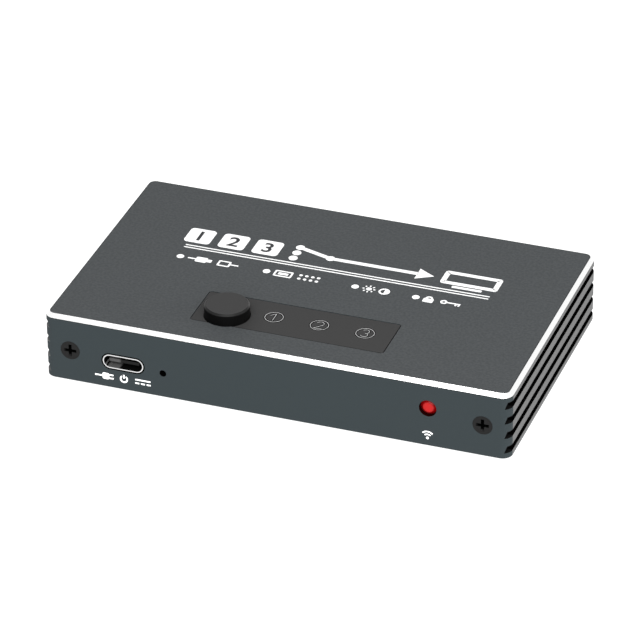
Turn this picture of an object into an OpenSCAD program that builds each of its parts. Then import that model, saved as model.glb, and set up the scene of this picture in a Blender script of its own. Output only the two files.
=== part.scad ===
// Video switch box: finned aluminium housing, three inputs, one output, one select button.
// Millimetres. +X right, +Y to the rear sockets, +Z up. The origin is on the table under the box's middle.

/* [Housing] */
// Width across the grooved sides
body_w = 101; // [98:0.5:130]
// Depth from the front plate's face to the rear plate's face
body_d = 60.2; // [56:0.1:90]
// Height without the feet
body_h = 15; // [14.6:0.1:20]
// Chamfer round the top edge
chamfer = 0.8; // [0.3:0.1:1.2]
// Radius of the four upright corners
corner_r = 2.2; // [1.6:0.1:3]
// Thickness of an end plate at its rim
plate_t = 3.2; // [3:0.1:5]
// Thickness of an end plate round the sockets
plate_web = 1.6; // [1.2:0.1:2.4]
// Side wall of the sleeve with its grooves
side_wall = 3; // [2.4:0.1:4]
// Top wall of the sleeve
top_wall = 1.6; // [1.3:0.1:2.2]
// Floor of the sleeve
floor_t = 1.5; // [1:0.1:2]

/* [Cooling grooves] */
// Height of a groove at its mouth
groove_h = 1.42; // [0.8:0.02:1.8]
// Distance from one groove to the next
groove_pitch = 3.46; // [2.6:0.02:5]
// Height of the lowest groove above the underside
groove_first = 1.2; // [0.5:0.01:1.5]
// Depth of a groove along its upper edge
groove_depth_top = 0.76; // [0.4:0.02:1.2]
// Depth of a groove along its lower edge
groove_depth_low = 1.23; // [0.5:0.01:1.4]
// Least height of the lip above the highest groove
groove_lip = 1; // [0.6:0.1:2]

/* [Feet] */
// Diameter of a rubber foot
foot_d = 8; // [5:0.5:12]
// Height of a rubber foot
foot_t = 1; // [0.6:0.1:3]
// Distance of a foot's centre from the box's edges
foot_inset = 9; // [7:0.5:20]

/* [Screws] */
// Thread diameter
screw_d = 2.5; // [2:0.1:3]
// Diameter of the countersunk head
screw_head_d = 4.2; // [3.6:0.1:5]
// Length with the head
screw_len = 8; // [6:0.5:12]
// Distance of a screw's axis from the side of the box
screw_inset = 5.8; // [5.4:0.1:7]
// Radius of the screw port inside the sleeve
port_r = 2.3; // [2:0.1:2.5]
// Clearance round a screw
screw_gap = 0.05; // [0.02:0.01:0.15]
// Length of the cross recess across a head
cross_reach = 2.75; // [1.8:0.05:3]
// Width of the cross recess
cross_w = 0.7; // [0.4:0.05:0.9]
// Depth of the cross recess
cross_depth = 1.15; // [0.6:0.05:1.3]
// Chamfer at a screw's tip
screw_tip = 0.4; // [0.2:0.1:0.8]

/* [Circuit board] */
// Thickness of the board
board_t = 1.6; // [1:0.1:2]
// Height of the board above the floor
board_lift = 1.5; // [1.2:0.1:2]
// Clearance at the board's edges
board_gap = 0.3; // [0.1:0.05:0.6]
// Clearance between the board and the screw ports above it
slot_gap = 0.2; // [0.1:0.05:0.4]
// Width of the rail under each edge of the board
rail_w = 2; // [1.5:0.1:3]
// Length of a pin below the board
pin_tail = 0.8; // [0.4:0.1:1]

/* [Sockets] */
// Thickness of a socket's steel shell
shell_t = 0.3; // [0.2:0.05:0.35]
// Clearance round a socket in its plate
socket_gap = 0.28; // [0.1:0.02:0.5]
// Width of a shell's solder leg
leg_w = 1.2; // [0.8:0.1:1.6]
// Clearance round a leg or lead in the board
leg_gap = 0.15; // [0.1:0.01:0.25]
// Thickness of a contact
contact_t = 0.15; // [0.1:0.01:0.2]
// Width of a contact
contact_w = 0.3; // [0.2:0.02:0.4]
// Height of a contact above the tongue
contact_rise = 0.04; // [0.02:0.01:0.08]
// Length of a contact's foot on the board
contact_foot = 0.8; // [0.5:0.1:1.2]
// Distance from a tongue's tip to its contacts
contact_back = 0.8; // [0.4:0.1:1.2]

/* [Video sockets] */
// Outer width of the shell
video_w = 14.6; // [14:0.1:15.2]
// Outer height of the shell
video_h = 5.2; // [5:0.1:5.8]
// Outer width along the narrow lower edge
video_low_w = 10.6; // [9.6:0.1:11.6]
// Height of the upright part of the sides
video_side_h = 2.9; // [2.4:0.1:3.4]
// Radius of the shell's upper corners
video_corner_r = 0.7; // [0.4:0.1:1.2]
// Length of the shell
video_len = 11.6; // [10.5:0.1:14]
// Distance of the outer video sockets' axes from the sides of the box
video_inset = 19; // [17:0.1:22]
// How far a video socket stands out of the rear plate
video_proud = 0.3; // [0:0.05:1]
// Height of the shell above the board
video_lift = 0.35; // [0.2:0.05:0.6]
// Length of the insert behind the tongue
video_insert_len = 4; // [3:0.1:5]
// Width of the tongue
video_tongue_w = 11.4; // [10.8:0.1:12]
// Thickness of the tongue
video_tongue_t = 1.5; // [1.2:0.1:1.8]
// Distance from the mouth to the tongue's tip
video_tongue_back = 1.4; // [0.8:0.1:2]
// Distance from one contact to the next in a row
video_contact_pitch = 1; // [0.8:0.05:1.1]
// Contacts in the upper row, with one fewer in the lower row
video_contact_count = 10; // [6:1:10]
// Distance from the mouth to the nearer pair of legs
video_leg_back = 4.2; // [3.5:0.1:5]
// Distance between the two pairs of legs
video_leg_pitch = 5; // [3:0.1:5.6]
// Width of a spring finger in the shell's upper and lower walls
spring_w = 1.5; // [1:0.1:2]
// Length of a spring finger
spring_len = 4; // [2.5:0.1:5]
// Width of the slit round a spring finger
slit_w = 0.3; // [0.2:0.05:0.5]
// Distance of a spring finger from the socket's middle
spring_reach = 2.6; // [2:0.1:3]
// Distance from the mouth to a spring finger's free end
spring_back = 2.2; // [1.5:0.1:3]

/* [Power socket] */
// Distance of the power socket's axis from the left side of the box
power_inset = 17.5; // [16:0.1:20]
// Outer width of the shell
power_w = 8.94; // [8.6:0.02:9.4]
// Outer height of the shell
power_h = 3.2; // [3:0.02:3.6]
// Length of the shell
power_len = 7.4; // [6.5:0.1:9]
// Length of the insert behind the tongue
power_insert_len = 2.2; // [1.5:0.1:2.6]
// Width of the tongue
power_tongue_w = 6.6; // [6:0.1:7]
// Thickness of the tongue
power_tongue_t = 0.7; // [0.6:0.05:0.9]
// Distance from the mouth to the tongue's tip
power_tongue_back = 0.8; // [0.5:0.1:1.5]
// Distance from one contact to the next in a row
power_contact_pitch = 1.75; // [1.2:0.05:2]
// Distance from the mouth to the nearer pair of legs
power_leg_back = 2.6; // [2.6:0.1:3]
// Distance between the two pairs of legs
power_leg_pitch = 3.4; // [2.6:0.1:3.6]

/* [Pilot lamp] */
// Distance of the pilot hole from the power socket's axis
pilot_reach = 8.8; // [7:0.1:12]
// Height of the pilot hole above the board
pilot_rise = 1; // [0.8:0.05:2]
// Diameter of the pilot hole
pilot_d = 1.5; // [1:0.1:2]
// Width of the pilot lamp
pilot_lamp_w = 2.8; // [2:0.1:3.4]
// Depth of the pilot lamp
pilot_lamp_d = 1.2; // [0.8:0.1:2]

/* [Receiver] */
// Distance of the receiver window's axis from the right side of the box
window_inset = 17.4; // [16:0.1:21]
// Height of the receiver window above the board
window_rise = 4.15; // [3.6:0.05:5]
// Diameter of the window's hole
window_d = 3.75; // [3:0.05:5]
// Depth of the window's flat face below the plate's face
window_recess = 0.45; // [0.2:0.05:0.6]
// Depth of the window's rim below the plate's face
window_rim = 1.05; // [0.7:0.05:1.1]
// Diameter of the window's flat face
window_flat_d = 2.3; // [1.5:0.1:2.8]
// Width of the window's flange behind the plate
window_flange_w = 0.9; // [0.6:0.1:1.5]
// Thickness of the window's flange
window_flange_t = 0.8; // [0.5:0.1:1.2]
// Clearance round the window
window_gap = 0.05; // [0.02:0.01:0.1]
// Width of the receiver module
module_w = 5.8; // [5:0.1:7]
// Depth of the receiver module's block
module_d = 3.6; // [3:0.1:5]
// Height of the receiver module's block
module_h = 6.2; // [5.6:0.1:6.6]
// Radius of the receiver module's lens
module_lens_r = 2; // [1.5:0.1:2.5]
// Gap between the window and the receiver module's lens
module_gap = 0.3; // [0.1:0.05:1]
// Distance from one lead to the next
module_lead_pitch = 2; // [1.5:0.02:2.54]
// Thickness of a lead
module_lead_t = 0.5; // [0.4:0.05:0.6]

/* [Indicator overlay] */
// Width of the overlay
overlay_w = 41.9; // [36:0.1:50]
// Depth of the overlay
overlay_d = 11.8; // [9:0.1:14]
// Distance of the overlay's centre from the front face
overlay_inset = 13.5; // [12:0.1:16]
// Thickness of the overlay
overlay_t = 0.45; // [0.3:0.05:0.7]
// Corner radius of the overlay
overlay_r = 0.6; // [0.5:0.1:3]
// How far the overlay lies below the top
overlay_recess = 0.06; // [0:0.01:0.2]
// Clearance round the overlay
overlay_gap = 0.12; // [0.05:0.01:0.3]
// Distance of the first lamp from the button's axis
lamp_reach = 9.67; // [9:0.01:11]
// Distance of the last lamp from the overlay's right edge
lamp_inset = 5.78; // [4:0.01:8]
// Diameter of a light pipe
pipe_d = 3; // [2:0.1:4]
// Width of the flange on a light pipe
pipe_flange_w = 0.7; // [0.4:0.1:1]
// Clearance round a light pipe
pipe_gap = 0.1; // [0.05:0.01:0.2]
// Thickness of the flange on a light pipe
pipe_flange_t = 0.8; // [0.4:0.1:1.5]
// Gap between a lamp and its light pipe
pipe_lift = 0.3; // [0.1:0.05:0.6]
// Length of a lamp
lamp_w = 2; // [1.6:0.1:3]
// Width of a lamp
lamp_d = 1.25; // [0.8:0.05:2]
// Height of a lamp
lamp_h = 0.8; // [0.6:0.1:1.5]

/* [Select button] */
// Distance of the button's axis from the overlay's left edge
button_inset = 6.65; // [6:0.05:8]
// How far the button's axis lies in front of the overlay's centre
button_forward = 1.8; // [0:0.1:3]
// Diameter of the button
button_d = 9.5; // [7:0.05:10.4]
// Height of the button above the top
button_rise = 2.7; // [1:0.1:4]
// Width of the bevel round the button's face
button_bevel_w = 0.35; // [0.2:0.05:0.8]
// Height of the bevel round the button's face
button_bevel_h = 0.45; // [0.2:0.05:0.8]
// Clearance round the button in the top
button_gap = 0.15; // [0.1:0.01:0.3]
// Width of the flange that keeps the button in the box
flange_w = 1; // [0.6:0.1:1.4]
// Thickness of the flange
flange_t = 0.8; // [0.5:0.1:1]
// Diameter of the button's stem
stem_d = 4.4; // [3:0.1:6]
// Length of the button's stem below its flange
stem_len = 0.9; // [0.5:0.1:2.5]
// How far the button travels
travel = 0.4; // [0.2:0.05:0.45]
// Free play above the button's flange and the plunger's collar
play = 0.1; // [0.05:0.01:0.2]

/* [Push switch] */
// Width of the switch
switch_w = 6.2; // [6:0.1:7]
// Height of the switch's base
switch_base_h = 3.2; // [2.8:0.1:3.6]
// Thickness of the cover plate
cover_t = 0.25; // [0.2:0.05:0.4]
// Diameter of the plunger
plunger_d = 3.4; // [2.6:0.1:3.8]
// Width of the plunger's collar under the cover
collar_w = 0.5; // [0.3:0.05:0.6]
// Thickness of the plunger's collar
collar_t = 0.5; // [0.3:0.05:0.6]
// Clearance round the plunger
plunger_gap = 0.12; // [0.05:0.01:0.2]
// Height that the snap dome keeps when the button is pressed right down
dome_rest = 0.15; // [0.1:0.05:0.25]
// Thickness of the snap dome
dome_t = 0.08; // [0.05:0.01:0.1]
// Radius of the snap dome's edge
dome_r = 2; // [1.6:0.1:2.1]
// Gap between the snap dome and the plunger
dome_gap = 0.03; // [0.02:0.01:0.1]
// Radius of the plunger's nub over the dome
nub_r = 0.7; // [0.4:0.1:1]
// Height of the plunger's nub
nub_h = 0.25; // [0.1:0.05:0.4]
// Width of a terminal
terminal_w = 0.7; // [0.5:0.1:1]
// Thickness of a terminal
terminal_t = 0.2; // [0.15:0.05:0.3]
// Length of a terminal's foot on the board
terminal_foot = 1.2; // [0.8:0.1:1.6]
// Height of a terminal on the side of the base
terminal_h = 1; // [0.6:0.1:2]
// Height of the cover's folded tabs
tab_h = 1.9; // [1:0.1:2.6]
// Width of the cover's folded tabs
tab_w = 3.7; // [2:0.1:5]

/* [Parts on the board] */
// Side of the switching chip
chip_w = 9; // [6:0.5:14]
// Height of the switching chip
chip_h = 0.9; // [0.7:0.1:1.5]
// Distance of the switching chip's centre from the front face
chip_back = 34.1; // [30:0.1:36]
// Side of the thermal pad
pad_w = 16; // [10:1:24]
// Place of the control chip, from the left side and the front face
control_at = [30.5, 26.1]; // [25:0.1:31]
// Width of the control chip along its rows of leads
control_w = 6.5; // [6:0.1:7]
// Depth of the control chip's block
control_d = 4.4; // [4:0.1:5]
// Thickness of the control chip's block
control_t = 0.9; // [0.7:0.1:1.2]
// Distance from one lead of the control chip to the next
control_pitch = 0.65; // [0.5:0.05:0.7]
// Leads along each side of the control chip
control_count = 10; // [4:1:10]
// Place of the crystal, from the left side and the front face
crystal_at = [30.5, 34.1]; // [30:0.1:36]
// Width of the crystal
crystal_w = 5; // [3:0.1:6]
// Depth of the crystal
crystal_d = 3.2; // [2:0.1:4]
// Height of the crystal's base
crystal_base_h = 0.7; // [0.4:0.1:1]
// Height of the crystal's lid
crystal_lid_h = 0.4; // [0.2:0.1:0.8]
// Step between the crystal's base and its lid
crystal_step = 0.25; // [0.1:0.05:0.5]
// Distance of the regulator and the inductor from the left side
power_column = 16.5; // [15:0.1:18]
// Distance of the regulator behind the power socket
regulator_back = 10.7; // [8:0.1:11]
// Width of the regulator's block
regulator_w = 6.5; // [6:0.1:7]
// Depth of the regulator's block
regulator_d = 3.5; // [3:0.1:4]
// Thickness of the regulator's block
regulator_t = 1.6; // [1.2:0.1:2]
// Distance from one lead of the regulator to the next
regulator_pitch = 2.3; // [1.5:0.1:2.6]
// Width of the regulator's tab
regulator_tab_w = 3; // [2:0.1:4]
// Height of a chip's block above the board
chip_lift = 0.1; // [0.05:0.05:0.2]
// Side of the inductor's base and diameter of its top
inductor_w = 5; // [4:0.1:6]
// Radius of the inductor's core
inductor_core_r = 2; // [1.4:0.1:2.2]
// Height of the inductor
inductor_h = 2.6; // [2:0.1:5]
// Thickness of the inductor's base and top
inductor_flange_t = 0.6; // [0.4:0.1:0.9]
// Distance of the round capacitors from the left side
round_cap_column = 13.5; // [12:0.1:14]
// Distance of the farther round capacitor from the video sockets
round_cap_clear = 7.8; // [7:0.1:9]
// Side of a round capacitor's seat
round_cap_w = 5; // [4:0.1:6.3]
// Diameter of a round capacitor's can
round_cap_d = 4.7; // [3.6:0.1:6]
// Height of a round capacitor
round_cap_h = 5.4; // [4:0.1:6]
// Thickness of a round capacitor's seat
round_cap_seat = 0.8; // [0.5:0.1:1.2]
// Length of a ceramic capacitor
ceramic_w = 1.6; // [1:0.1:2]
// Width of a ceramic capacitor
ceramic_d = 0.8; // [0.5:0.1:1.2]
// Height of a ceramic capacitor
ceramic_h = 0.8; // [0.5:0.1:1.2]
// Distance from one ceramic capacitor to the next beside the switching chip
ceramic_pitch = 1.4; // [1.3:0.1:2]

/* [Hidden] */
$fn = 64;
// Overcut that carries a cut clear of a surface
over = 1;
// Heights above the table
base_z = foot_t;
top_z = base_z + body_h;
floor_z = base_z + floor_t;
ceiling_z = top_z - top_wall;
board_z = floor_z + board_lift;
board_top = board_z + board_t;
pocket_z = top_z - overlay_recess - overlay_t;
// Ends of the housing, front to rear
front_y = -body_d / 2;
rear_y = body_d / 2;
sleeve_len = body_d - 2 * plate_t;
// Inside of the sleeve
cavity_w = body_w - 2 * side_wall;
screw_x = body_w / 2 - screw_inset;
screw_z = board_top + slot_gap + port_r;
screw_head_h = (screw_head_d - screw_d) / 2;
board_w = cavity_w - 2 * board_gap;
board_d = body_d - 2 * (plate_web + board_gap);
// As many grooves as the side has room for
groove_room = body_h - chamfer - groove_lip - groove_first - groove_h;
groove_count = floor(groove_room / groove_pitch) + 1;
// A place given from the left side and the front face
function placed(at) = [at.x - body_w / 2, at.y + front_y];
// Sockets
video_z = board_top + video_lift;
video_mouth = rear_y + video_proud;
video_back = video_mouth - video_len;
video_tongue_z = video_z + video_h / 2 + shell_t / 2;
power_x = power_inset - body_w / 2;
power_z = board_top + power_h / 2;
power_back = front_y + power_len;
pilot_x = power_x + pilot_reach;
// Video sockets from left to right as seen from behind
VIDEO = ["input_1", "input_2", "input_3", "output"];
video_pitch = (body_w - 2 * video_inset) / (len(VIDEO) - 1);
function video_x(i) = body_w / 2 - video_inset - i * video_pitch;
// Places of the leg pairs along a socket, from its mouth
video_legs = [video_leg_back, video_leg_back + video_leg_pitch];
power_legs = [power_leg_back, power_leg_back + power_leg_pitch];
leg_hole_r = sqrt(leg_w * leg_w + shell_t * shell_t) / 2 + leg_gap;
lead_hole_r = module_lead_t / sqrt(2) + leg_gap;
// Receiver
window_x = body_w / 2 - window_inset;
window_z = board_top + window_rise;
window_back = front_y + plate_web + window_flange_t;
module_face = window_back + module_gap + module_lens_r;
module_low = window_z - module_h / 2;
// Overlay with its button and its row of lamps
overlay_y = front_y + overlay_inset;
button_x = button_inset - overlay_w / 2;
button_y = overlay_y - button_forward;
lamp_count = 3;
lamp_x = button_x + lamp_reach;
lamp_pitch = (overlay_w / 2 - lamp_inset - lamp_x) / (lamp_count - 1);
// Button and push switch
button_r = button_d / 2;
button_hole_r = button_r + button_gap;
flange_r = button_hole_r + flange_w;
flange_top = ceiling_z - play;
flange_low = flange_top - flange_t;
plunger_top = flange_low - stem_len;
cover_z = board_top + switch_base_h;
collar_r = plunger_d / 2 + collar_w;
collar_top = cover_z - play;
collar_low = collar_top - collar_t;
dome_h = travel + dome_rest;
dome_top = collar_low - nub_h - dome_gap;
dome_z = dome_top - dome_h;
well_r = collar_r + plunger_gap;
// Parts on the board, with the power parts evenly spaced from the regulator to the farther round capacitor
chip_at = [0, front_y + chip_back];
regulator_y = power_back + regulator_back;
round_cap_y = video_back - round_cap_clear;
power_steps = 3;
power_step = (round_cap_y - regulator_y) / power_steps;
regulator_at = [power_column - body_w / 2, regulator_y];
inductor_at = [power_column - body_w / 2, regulator_y + power_step];

// Shared shapes

// Extrudes a profile drawn in X and Z along Y, starting at y
module along_y(y, len) {
    translate([0, y + len, 0])
        rotate([90, 0, 0])
            linear_extrude(len)
                children();
}

// Extrudes a profile drawn in Y and Z along X, centred on x
module along_x(x, len) {
    translate([x - len / 2, 0, 0])
        rotate([90, 0, 90])
            linear_extrude(len)
                children();
}

module rounded_rect(w, d, r) {
    square([w - 2 * r, d], center = true);
    square([w, d - 2 * r], center = true);
    for (x = [-1, 1], y = [-1, 1])
        translate([x * (w / 2 - r), y * (d / 2 - r)])
            circle(r);
}

// Outline with two round ends
module stadium(w, h) {
    square([w - h, h], center = true);
    for (x = [-1, 1])
        translate([x * (w - h) / 2, 0])
            circle(h / 2);
}

// Block that stands on z with its centre at a place on the board
module chip_block(at, size, z) {
    translate([at.x, at.y, z + size.z / 2])
        cube(size, center = true);
}

// Housing

// Cross-section of the housing with its chamfered top edges and side grooves
module housing_profile() {
    half = body_w / 2;
    difference() {
        polygon([
            [-half, base_z], [half, base_z], [half, top_z - chamfer],
            [half - chamfer, top_z], [chamfer - half, top_z], [-half, top_z - chamfer]
        ]);
        for (side = [0, 1], i = [0 : groove_count - 1])
            mirror([side, 0])
                translate([half, base_z + groove_first + i * groove_pitch])
                    polygon([
                        [over, 0], [-groove_depth_low, 0],
                        [-groove_depth_top, groove_h], [over, groove_h]
                    ]);
    }
}

// Inside of the housing: the screw ports and the board's rails stand into it from the side walls
module cavity_profile() {
    difference() {
        translate([0, (floor_z + ceiling_z) / 2])
            square([cavity_w, ceiling_z - floor_z], center = true);
        for (side = [0, 1])
            mirror([side, 0]) {
                translate([screw_x, screw_z])
                    circle(port_r);
                translate([screw_x, screw_z - port_r])
                    square([cavity_w / 2 - screw_x + over, 2 * port_r]);
                translate([cavity_w / 2 - rail_w, floor_z - over])
                    square([rail_w + over, board_z - floor_z + over]);
            }
    }
}

module body_sleeve() {
    color("#585b5e")
    difference() {
        along_y(-sleeve_len / 2, sleeve_len)
            difference() {
                housing_profile();
                cavity_profile();
                for (side = [-1, 1])
                    translate([side * screw_x, screw_z])
                        circle(screw_d / 2 + screw_gap);
            }
        translate([0, overlay_y, pocket_z])
            linear_extrude(top_wall)
                rounded_rect(
                    overlay_w + 2 * overlay_gap, overlay_d + 2 * overlay_gap, overlay_r + overlay_gap
                );
        translate([button_x, button_y, ceiling_z - over])
            cylinder(h = top_wall + 2 * over, r = button_hole_r);
        for (i = [0 : lamp_count - 1])
            translate([lamp_x + i * lamp_pitch, overlay_y, ceiling_z - over])
                cylinder(h = top_wall + over, r = pipe_d / 2 + pipe_gap);
    }
}

// Upright rounded corner with its share of the chamfer, as a solid of revolution
module corner_post() {
    rotate_extrude()
        polygon([
            [0, base_z - over], [corner_r, base_z - over], [corner_r, top_z - chamfer],
            [corner_r - chamfer, top_z], [corner_r - chamfer, top_z + over], [0, top_z + over]
        ]);
}

// Waste outside one rounded corner of the front plate
module corner_waste() {
    reach = corner_r + over;
    translate([body_w / 2 - corner_r, front_y + corner_r, 0])
        difference() {
            translate([0, -reach, base_z - over])
                cube([reach, reach, body_h + 2 * over]);
            corner_post();
        }
}

// Front plate before its holes: outline of the sleeve, rounded corners, and a pocket for the board behind it
module end_plate() {
    difference() {
        along_y(front_y, plate_t)
            housing_profile();
        for (side = [0, 1])
            mirror([side, 0, 0])
                corner_waste();
        along_x(0, body_w - 2 * corner_r)
            polygon([
                [front_y - over, top_z - chamfer - over], [front_y + chamfer + over, top_z + over],
                [front_y - over, top_z + over]
            ]);
        along_y(front_y + plate_web, plate_t)
            cavity_profile();
        for (side = [-1, 1])
            translate([side * screw_x, front_y, screw_z])
                rotate([-90, 0, 0])
                    screw_hole();
    }
}

module screw_hole() {
    wide = screw_head_d / 2 + screw_gap;
    narrow = screw_d / 2 + screw_gap;
    cylinder(h = wide - narrow, r1 = wide, r2 = narrow);
    translate([0, 0, -over])
        cylinder(h = plate_t + 2 * over, r = narrow);
}

module front_panel() {
    color("#4a5256")
    difference() {
        end_plate();
        along_y(front_y - over, plate_t + over)
            translate([power_x, power_z])
                stadium(power_w + 2 * socket_gap, power_h + 2 * socket_gap);
        along_y(front_y - over, plate_t + over)
            translate([pilot_x, board_top + pilot_rise])
                circle(pilot_d / 2);
        along_y(front_y - over, plate_t + over)
            translate([window_x, window_z])
                circle(window_d / 2);
    }
}

module rear_panel() {
    color("#4a5256")
    difference() {
        mirror([0, 1, 0])
            end_plate();
        for (i = [0 : len(VIDEO) - 1])
            along_y(rear_y - plate_t - over, plate_t + 2 * over)
                translate([video_x(i), video_z])
                    video_profile(-socket_gap);
    }
}

// Countersunk screw, pointing along +Z from the face of its head
module screw() {
    difference() {
        rotate_extrude()
            polygon([
                [0, 0], [screw_head_d / 2, 0], [screw_d / 2, screw_head_h],
                [screw_d / 2, screw_len - screw_tip], [screw_d / 2 - screw_tip, screw_len], [0, screw_len]
            ]);
        intersection() {
            union() {
                cube([cross_reach, cross_w, 2 * cross_depth], center = true);
                cube([cross_w, cross_reach, 2 * cross_depth], center = true);
            }
            translate([0, 0, -cross_depth])
                cylinder(h = 2 * cross_depth, r1 = cross_reach, r2 = cross_w / 2);
        }
    }
}

module front_screws() {
    color("#2c2c2e")
    for (side = [-1, 1])
        translate([side * screw_x, front_y, screw_z])
            rotate([-90, 0, 0])
                screw();
}

module rear_screws() {
    color("#2c2c2e")
    for (side = [-1, 1])
        translate([side * screw_x, rear_y, screw_z])
            rotate([90, 0, 0])
                screw();
}

module rubber_feet() {
    edge = 0.3;
    color("#1b1b1c")
    for (x = [-1, 1], y = [-1, 1])
        translate([x * (body_w / 2 - foot_inset), y * (body_d / 2 - foot_inset), 0])
            rotate_extrude()
                polygon([
                    [0, 0], [foot_d / 2 - edge, 0], [foot_d / 2, edge],
                    [foot_d / 2, foot_t], [0, foot_t]
                ]);
}

// Indicators

module indicator_overlay() {
    color("#3f3f40")
    translate([0, 0, pocket_z])
        linear_extrude(overlay_t)
            difference() {
                translate([0, overlay_y])
                    rounded_rect(overlay_w, overlay_d, overlay_r);
                translate([button_x, button_y])
                    circle(button_hole_r);
            }
}

// Light pipes reach from just above the lamps to the overlay, with a flange glued under the top wall
module light_pipes() {
    low = board_top + lamp_h + pipe_lift;
    flange_z = ceiling_z - pipe_flange_t;
    color("#d9dde0")
    for (i = [0 : lamp_count - 1])
        translate([lamp_x + i * lamp_pitch, overlay_y, 0])
            rotate_extrude()
                polygon([
                    [0, low], [pipe_d / 2, low], [pipe_d / 2, flange_z],
                    [pipe_d / 2 + pipe_flange_w, flange_z], [pipe_d / 2 + pipe_flange_w, ceiling_z],
                    [pipe_d / 2, ceiling_z], [pipe_d / 2, pocket_z], [0, pocket_z]
                ]);
}

module indicator_lamps() {
    color("#e8e6dc")
    for (i = [0 : lamp_count - 1])
        chip_block([lamp_x + i * lamp_pitch, overlay_y], [lamp_w, lamp_d, lamp_h], board_top);
}

module pilot_lamp() {
    face = front_y + plate_web + board_gap;
    color("#2e3033")
    chip_block([pilot_x, face + pilot_lamp_d / 2], [pilot_lamp_w, pilot_lamp_d, 2 * pilot_rise], board_top);
}

// Select button and its push switch

module select_button() {
    cap_top = top_z + button_rise;
    color("#3c3c3d")
    translate([button_x, button_y, 0])
        rotate_extrude()
            polygon([
                [0, plunger_top], [stem_d / 2, plunger_top], [stem_d / 2, flange_low],
                [flange_r, flange_low], [flange_r, flange_low + flange_t], [button_r, flange_low + flange_t],
                [button_r, cap_top - button_bevel_h], [button_r - button_bevel_w, cap_top], [0, cap_top]
            ]);
}

module switch_plunger() {
    color("#1f1f20")
    translate([button_x, button_y, 0])
        rotate_extrude()
            polygon([
                [0, collar_low - nub_h], [nub_r, collar_low - nub_h], [nub_r, collar_low],
                [collar_r, collar_low], [collar_r, collar_top], [plunger_d / 2, collar_top],
                [plunger_d / 2, plunger_top], [0, plunger_top]
            ]);
}

// Steel plate over the base, with a folded tab on each side
module switch_cover() {
    color("#b9bcc0")
    translate([button_x, button_y, 0])
        difference() {
            union() {
                translate([0, 0, cover_z + cover_t / 2])
                    cube([switch_w + 2 * cover_t, switch_w, cover_t], center = true);
                for (side = [-1, 1])
                    translate([side * (switch_w + cover_t) / 2, 0, cover_z + (cover_t - tab_h) / 2])
                        cube([cover_t, tab_w, tab_h + cover_t], center = true);
            }
            translate([0, 0, cover_z - over])
                cylinder(h = cover_t + 2 * over, r = plunger_d / 2 + plunger_gap);
        }
}

module switch_base() {
    color("#26272a")
    translate([button_x, button_y, 0])
        difference() {
            chip_block([0, 0], [switch_w, switch_w, switch_base_h], board_top);
            translate([0, 0, dome_z])
                cylinder(h = switch_base_h, r = well_r);
        }
}

// Thin domed disc that clicks over under the plunger
module switch_dome() {
    curve_r = (dome_r * dome_r + dome_h * dome_h) / (2 * dome_h);
    color("#c9ccd0")
    translate([button_x, button_y, dome_top - curve_r])
        rotate_extrude()
            intersection() {
                difference() {
                    circle(curve_r);
                    circle(curve_r - dome_t);
                }
                translate([0, curve_r - dome_h])
                    square([dome_r + over, dome_h + over]);
            }
}

// Four bent terminals, each up the base's side and out along the board
module switch_terminals() {
    t = terminal_t;
    color("#c9ccd0")
    for (end = [0, 1], x = [-1, 1])
        translate([button_x, button_y, board_top])
            mirror([0, end, 0])
                along_x(x * (switch_w / 2 - terminal_w), terminal_w)
                    translate([switch_w / 2, 0])
                        polygon([
                            [0, 0], [terminal_foot, 0], [terminal_foot, t],
                            [t, t], [t, terminal_h], [0, terminal_h]
                        ]);
}

// Video sockets

// D-shaped outline of a video socket, standing on its narrow edge and drawn inset by the given distance
module video_profile(inset) {
    slope_w = (video_w - video_low_w) / 2;
    slope_h = video_h - video_side_h;
    slope = sqrt(slope_w * slope_w + slope_h * slope_h);
    half = video_w / 2 - inset;
    high = video_h - inset;
    bend_z = slope_h + inset * (slope_w - (slope - slope_h) * slope_h / slope_w) / slope;
    low_half = video_low_w / 2 + inset * ((slope - slope_w) * slope_w / slope_h - slope_h) / slope;
    r = max(video_corner_r - inset, 0.1);
    polygon([
        [-low_half, inset], [low_half, inset], [half, bend_z], [half, high - r],
        [half - r, high], [r - half, high], [-half, high - r], [-half, bend_z]
    ]);
    for (x = [-1, 1])
        translate([x * (half - r), high - r])
            circle(r);
}

// Slit round the free end and the two sides of a spring finger, through both walls of the shell
module spring_slit() {
    linear_extrude(video_h + 2 * over)
        difference() {
            translate([-spring_w / 2 - slit_w, -spring_len])
                square([spring_w + 2 * slit_w, spring_len]);
            translate([-spring_w / 2, -spring_len - over])
                square([spring_w, spring_len + over - slit_w]);
        }
}

module video_shell(i) {
    leg_top = video_z + video_h - video_corner_r - shell_t;
    leg_low = board_z - pin_tail;
    color("#b4b7ba")
    translate([video_x(i), 0, 0]) {
        difference() {
            along_y(video_back, video_len)
                translate([0, video_z])
                    difference() {
                        video_profile(0);
                        video_profile(shell_t);
                    }
            for (side = [-1, 1])
                translate([side * spring_reach, video_mouth - spring_back, video_z - over])
                    spring_slit();
        }
        for (side = [-1, 1], back = video_legs)
            translate([side * (video_w - shell_t) / 2, video_mouth - back, (leg_top + leg_low) / 2])
                cube([shell_t, leg_w, leg_top - leg_low], center = true);
    }
}

// Side view of one contact: along the tongue, down behind the insert and out on the board
module contact_path(tip, back, z, foot_z, foot) {
    t = contact_t;
    polygon([
        [tip, z], [tip, z + t], [back - t, z + t], [back - t, foot_z + t],
        [back - t - foot, foot_z + t], [back - t - foot, foot_z], [back, foot_z], [back, z]
    ]);
}

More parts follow.
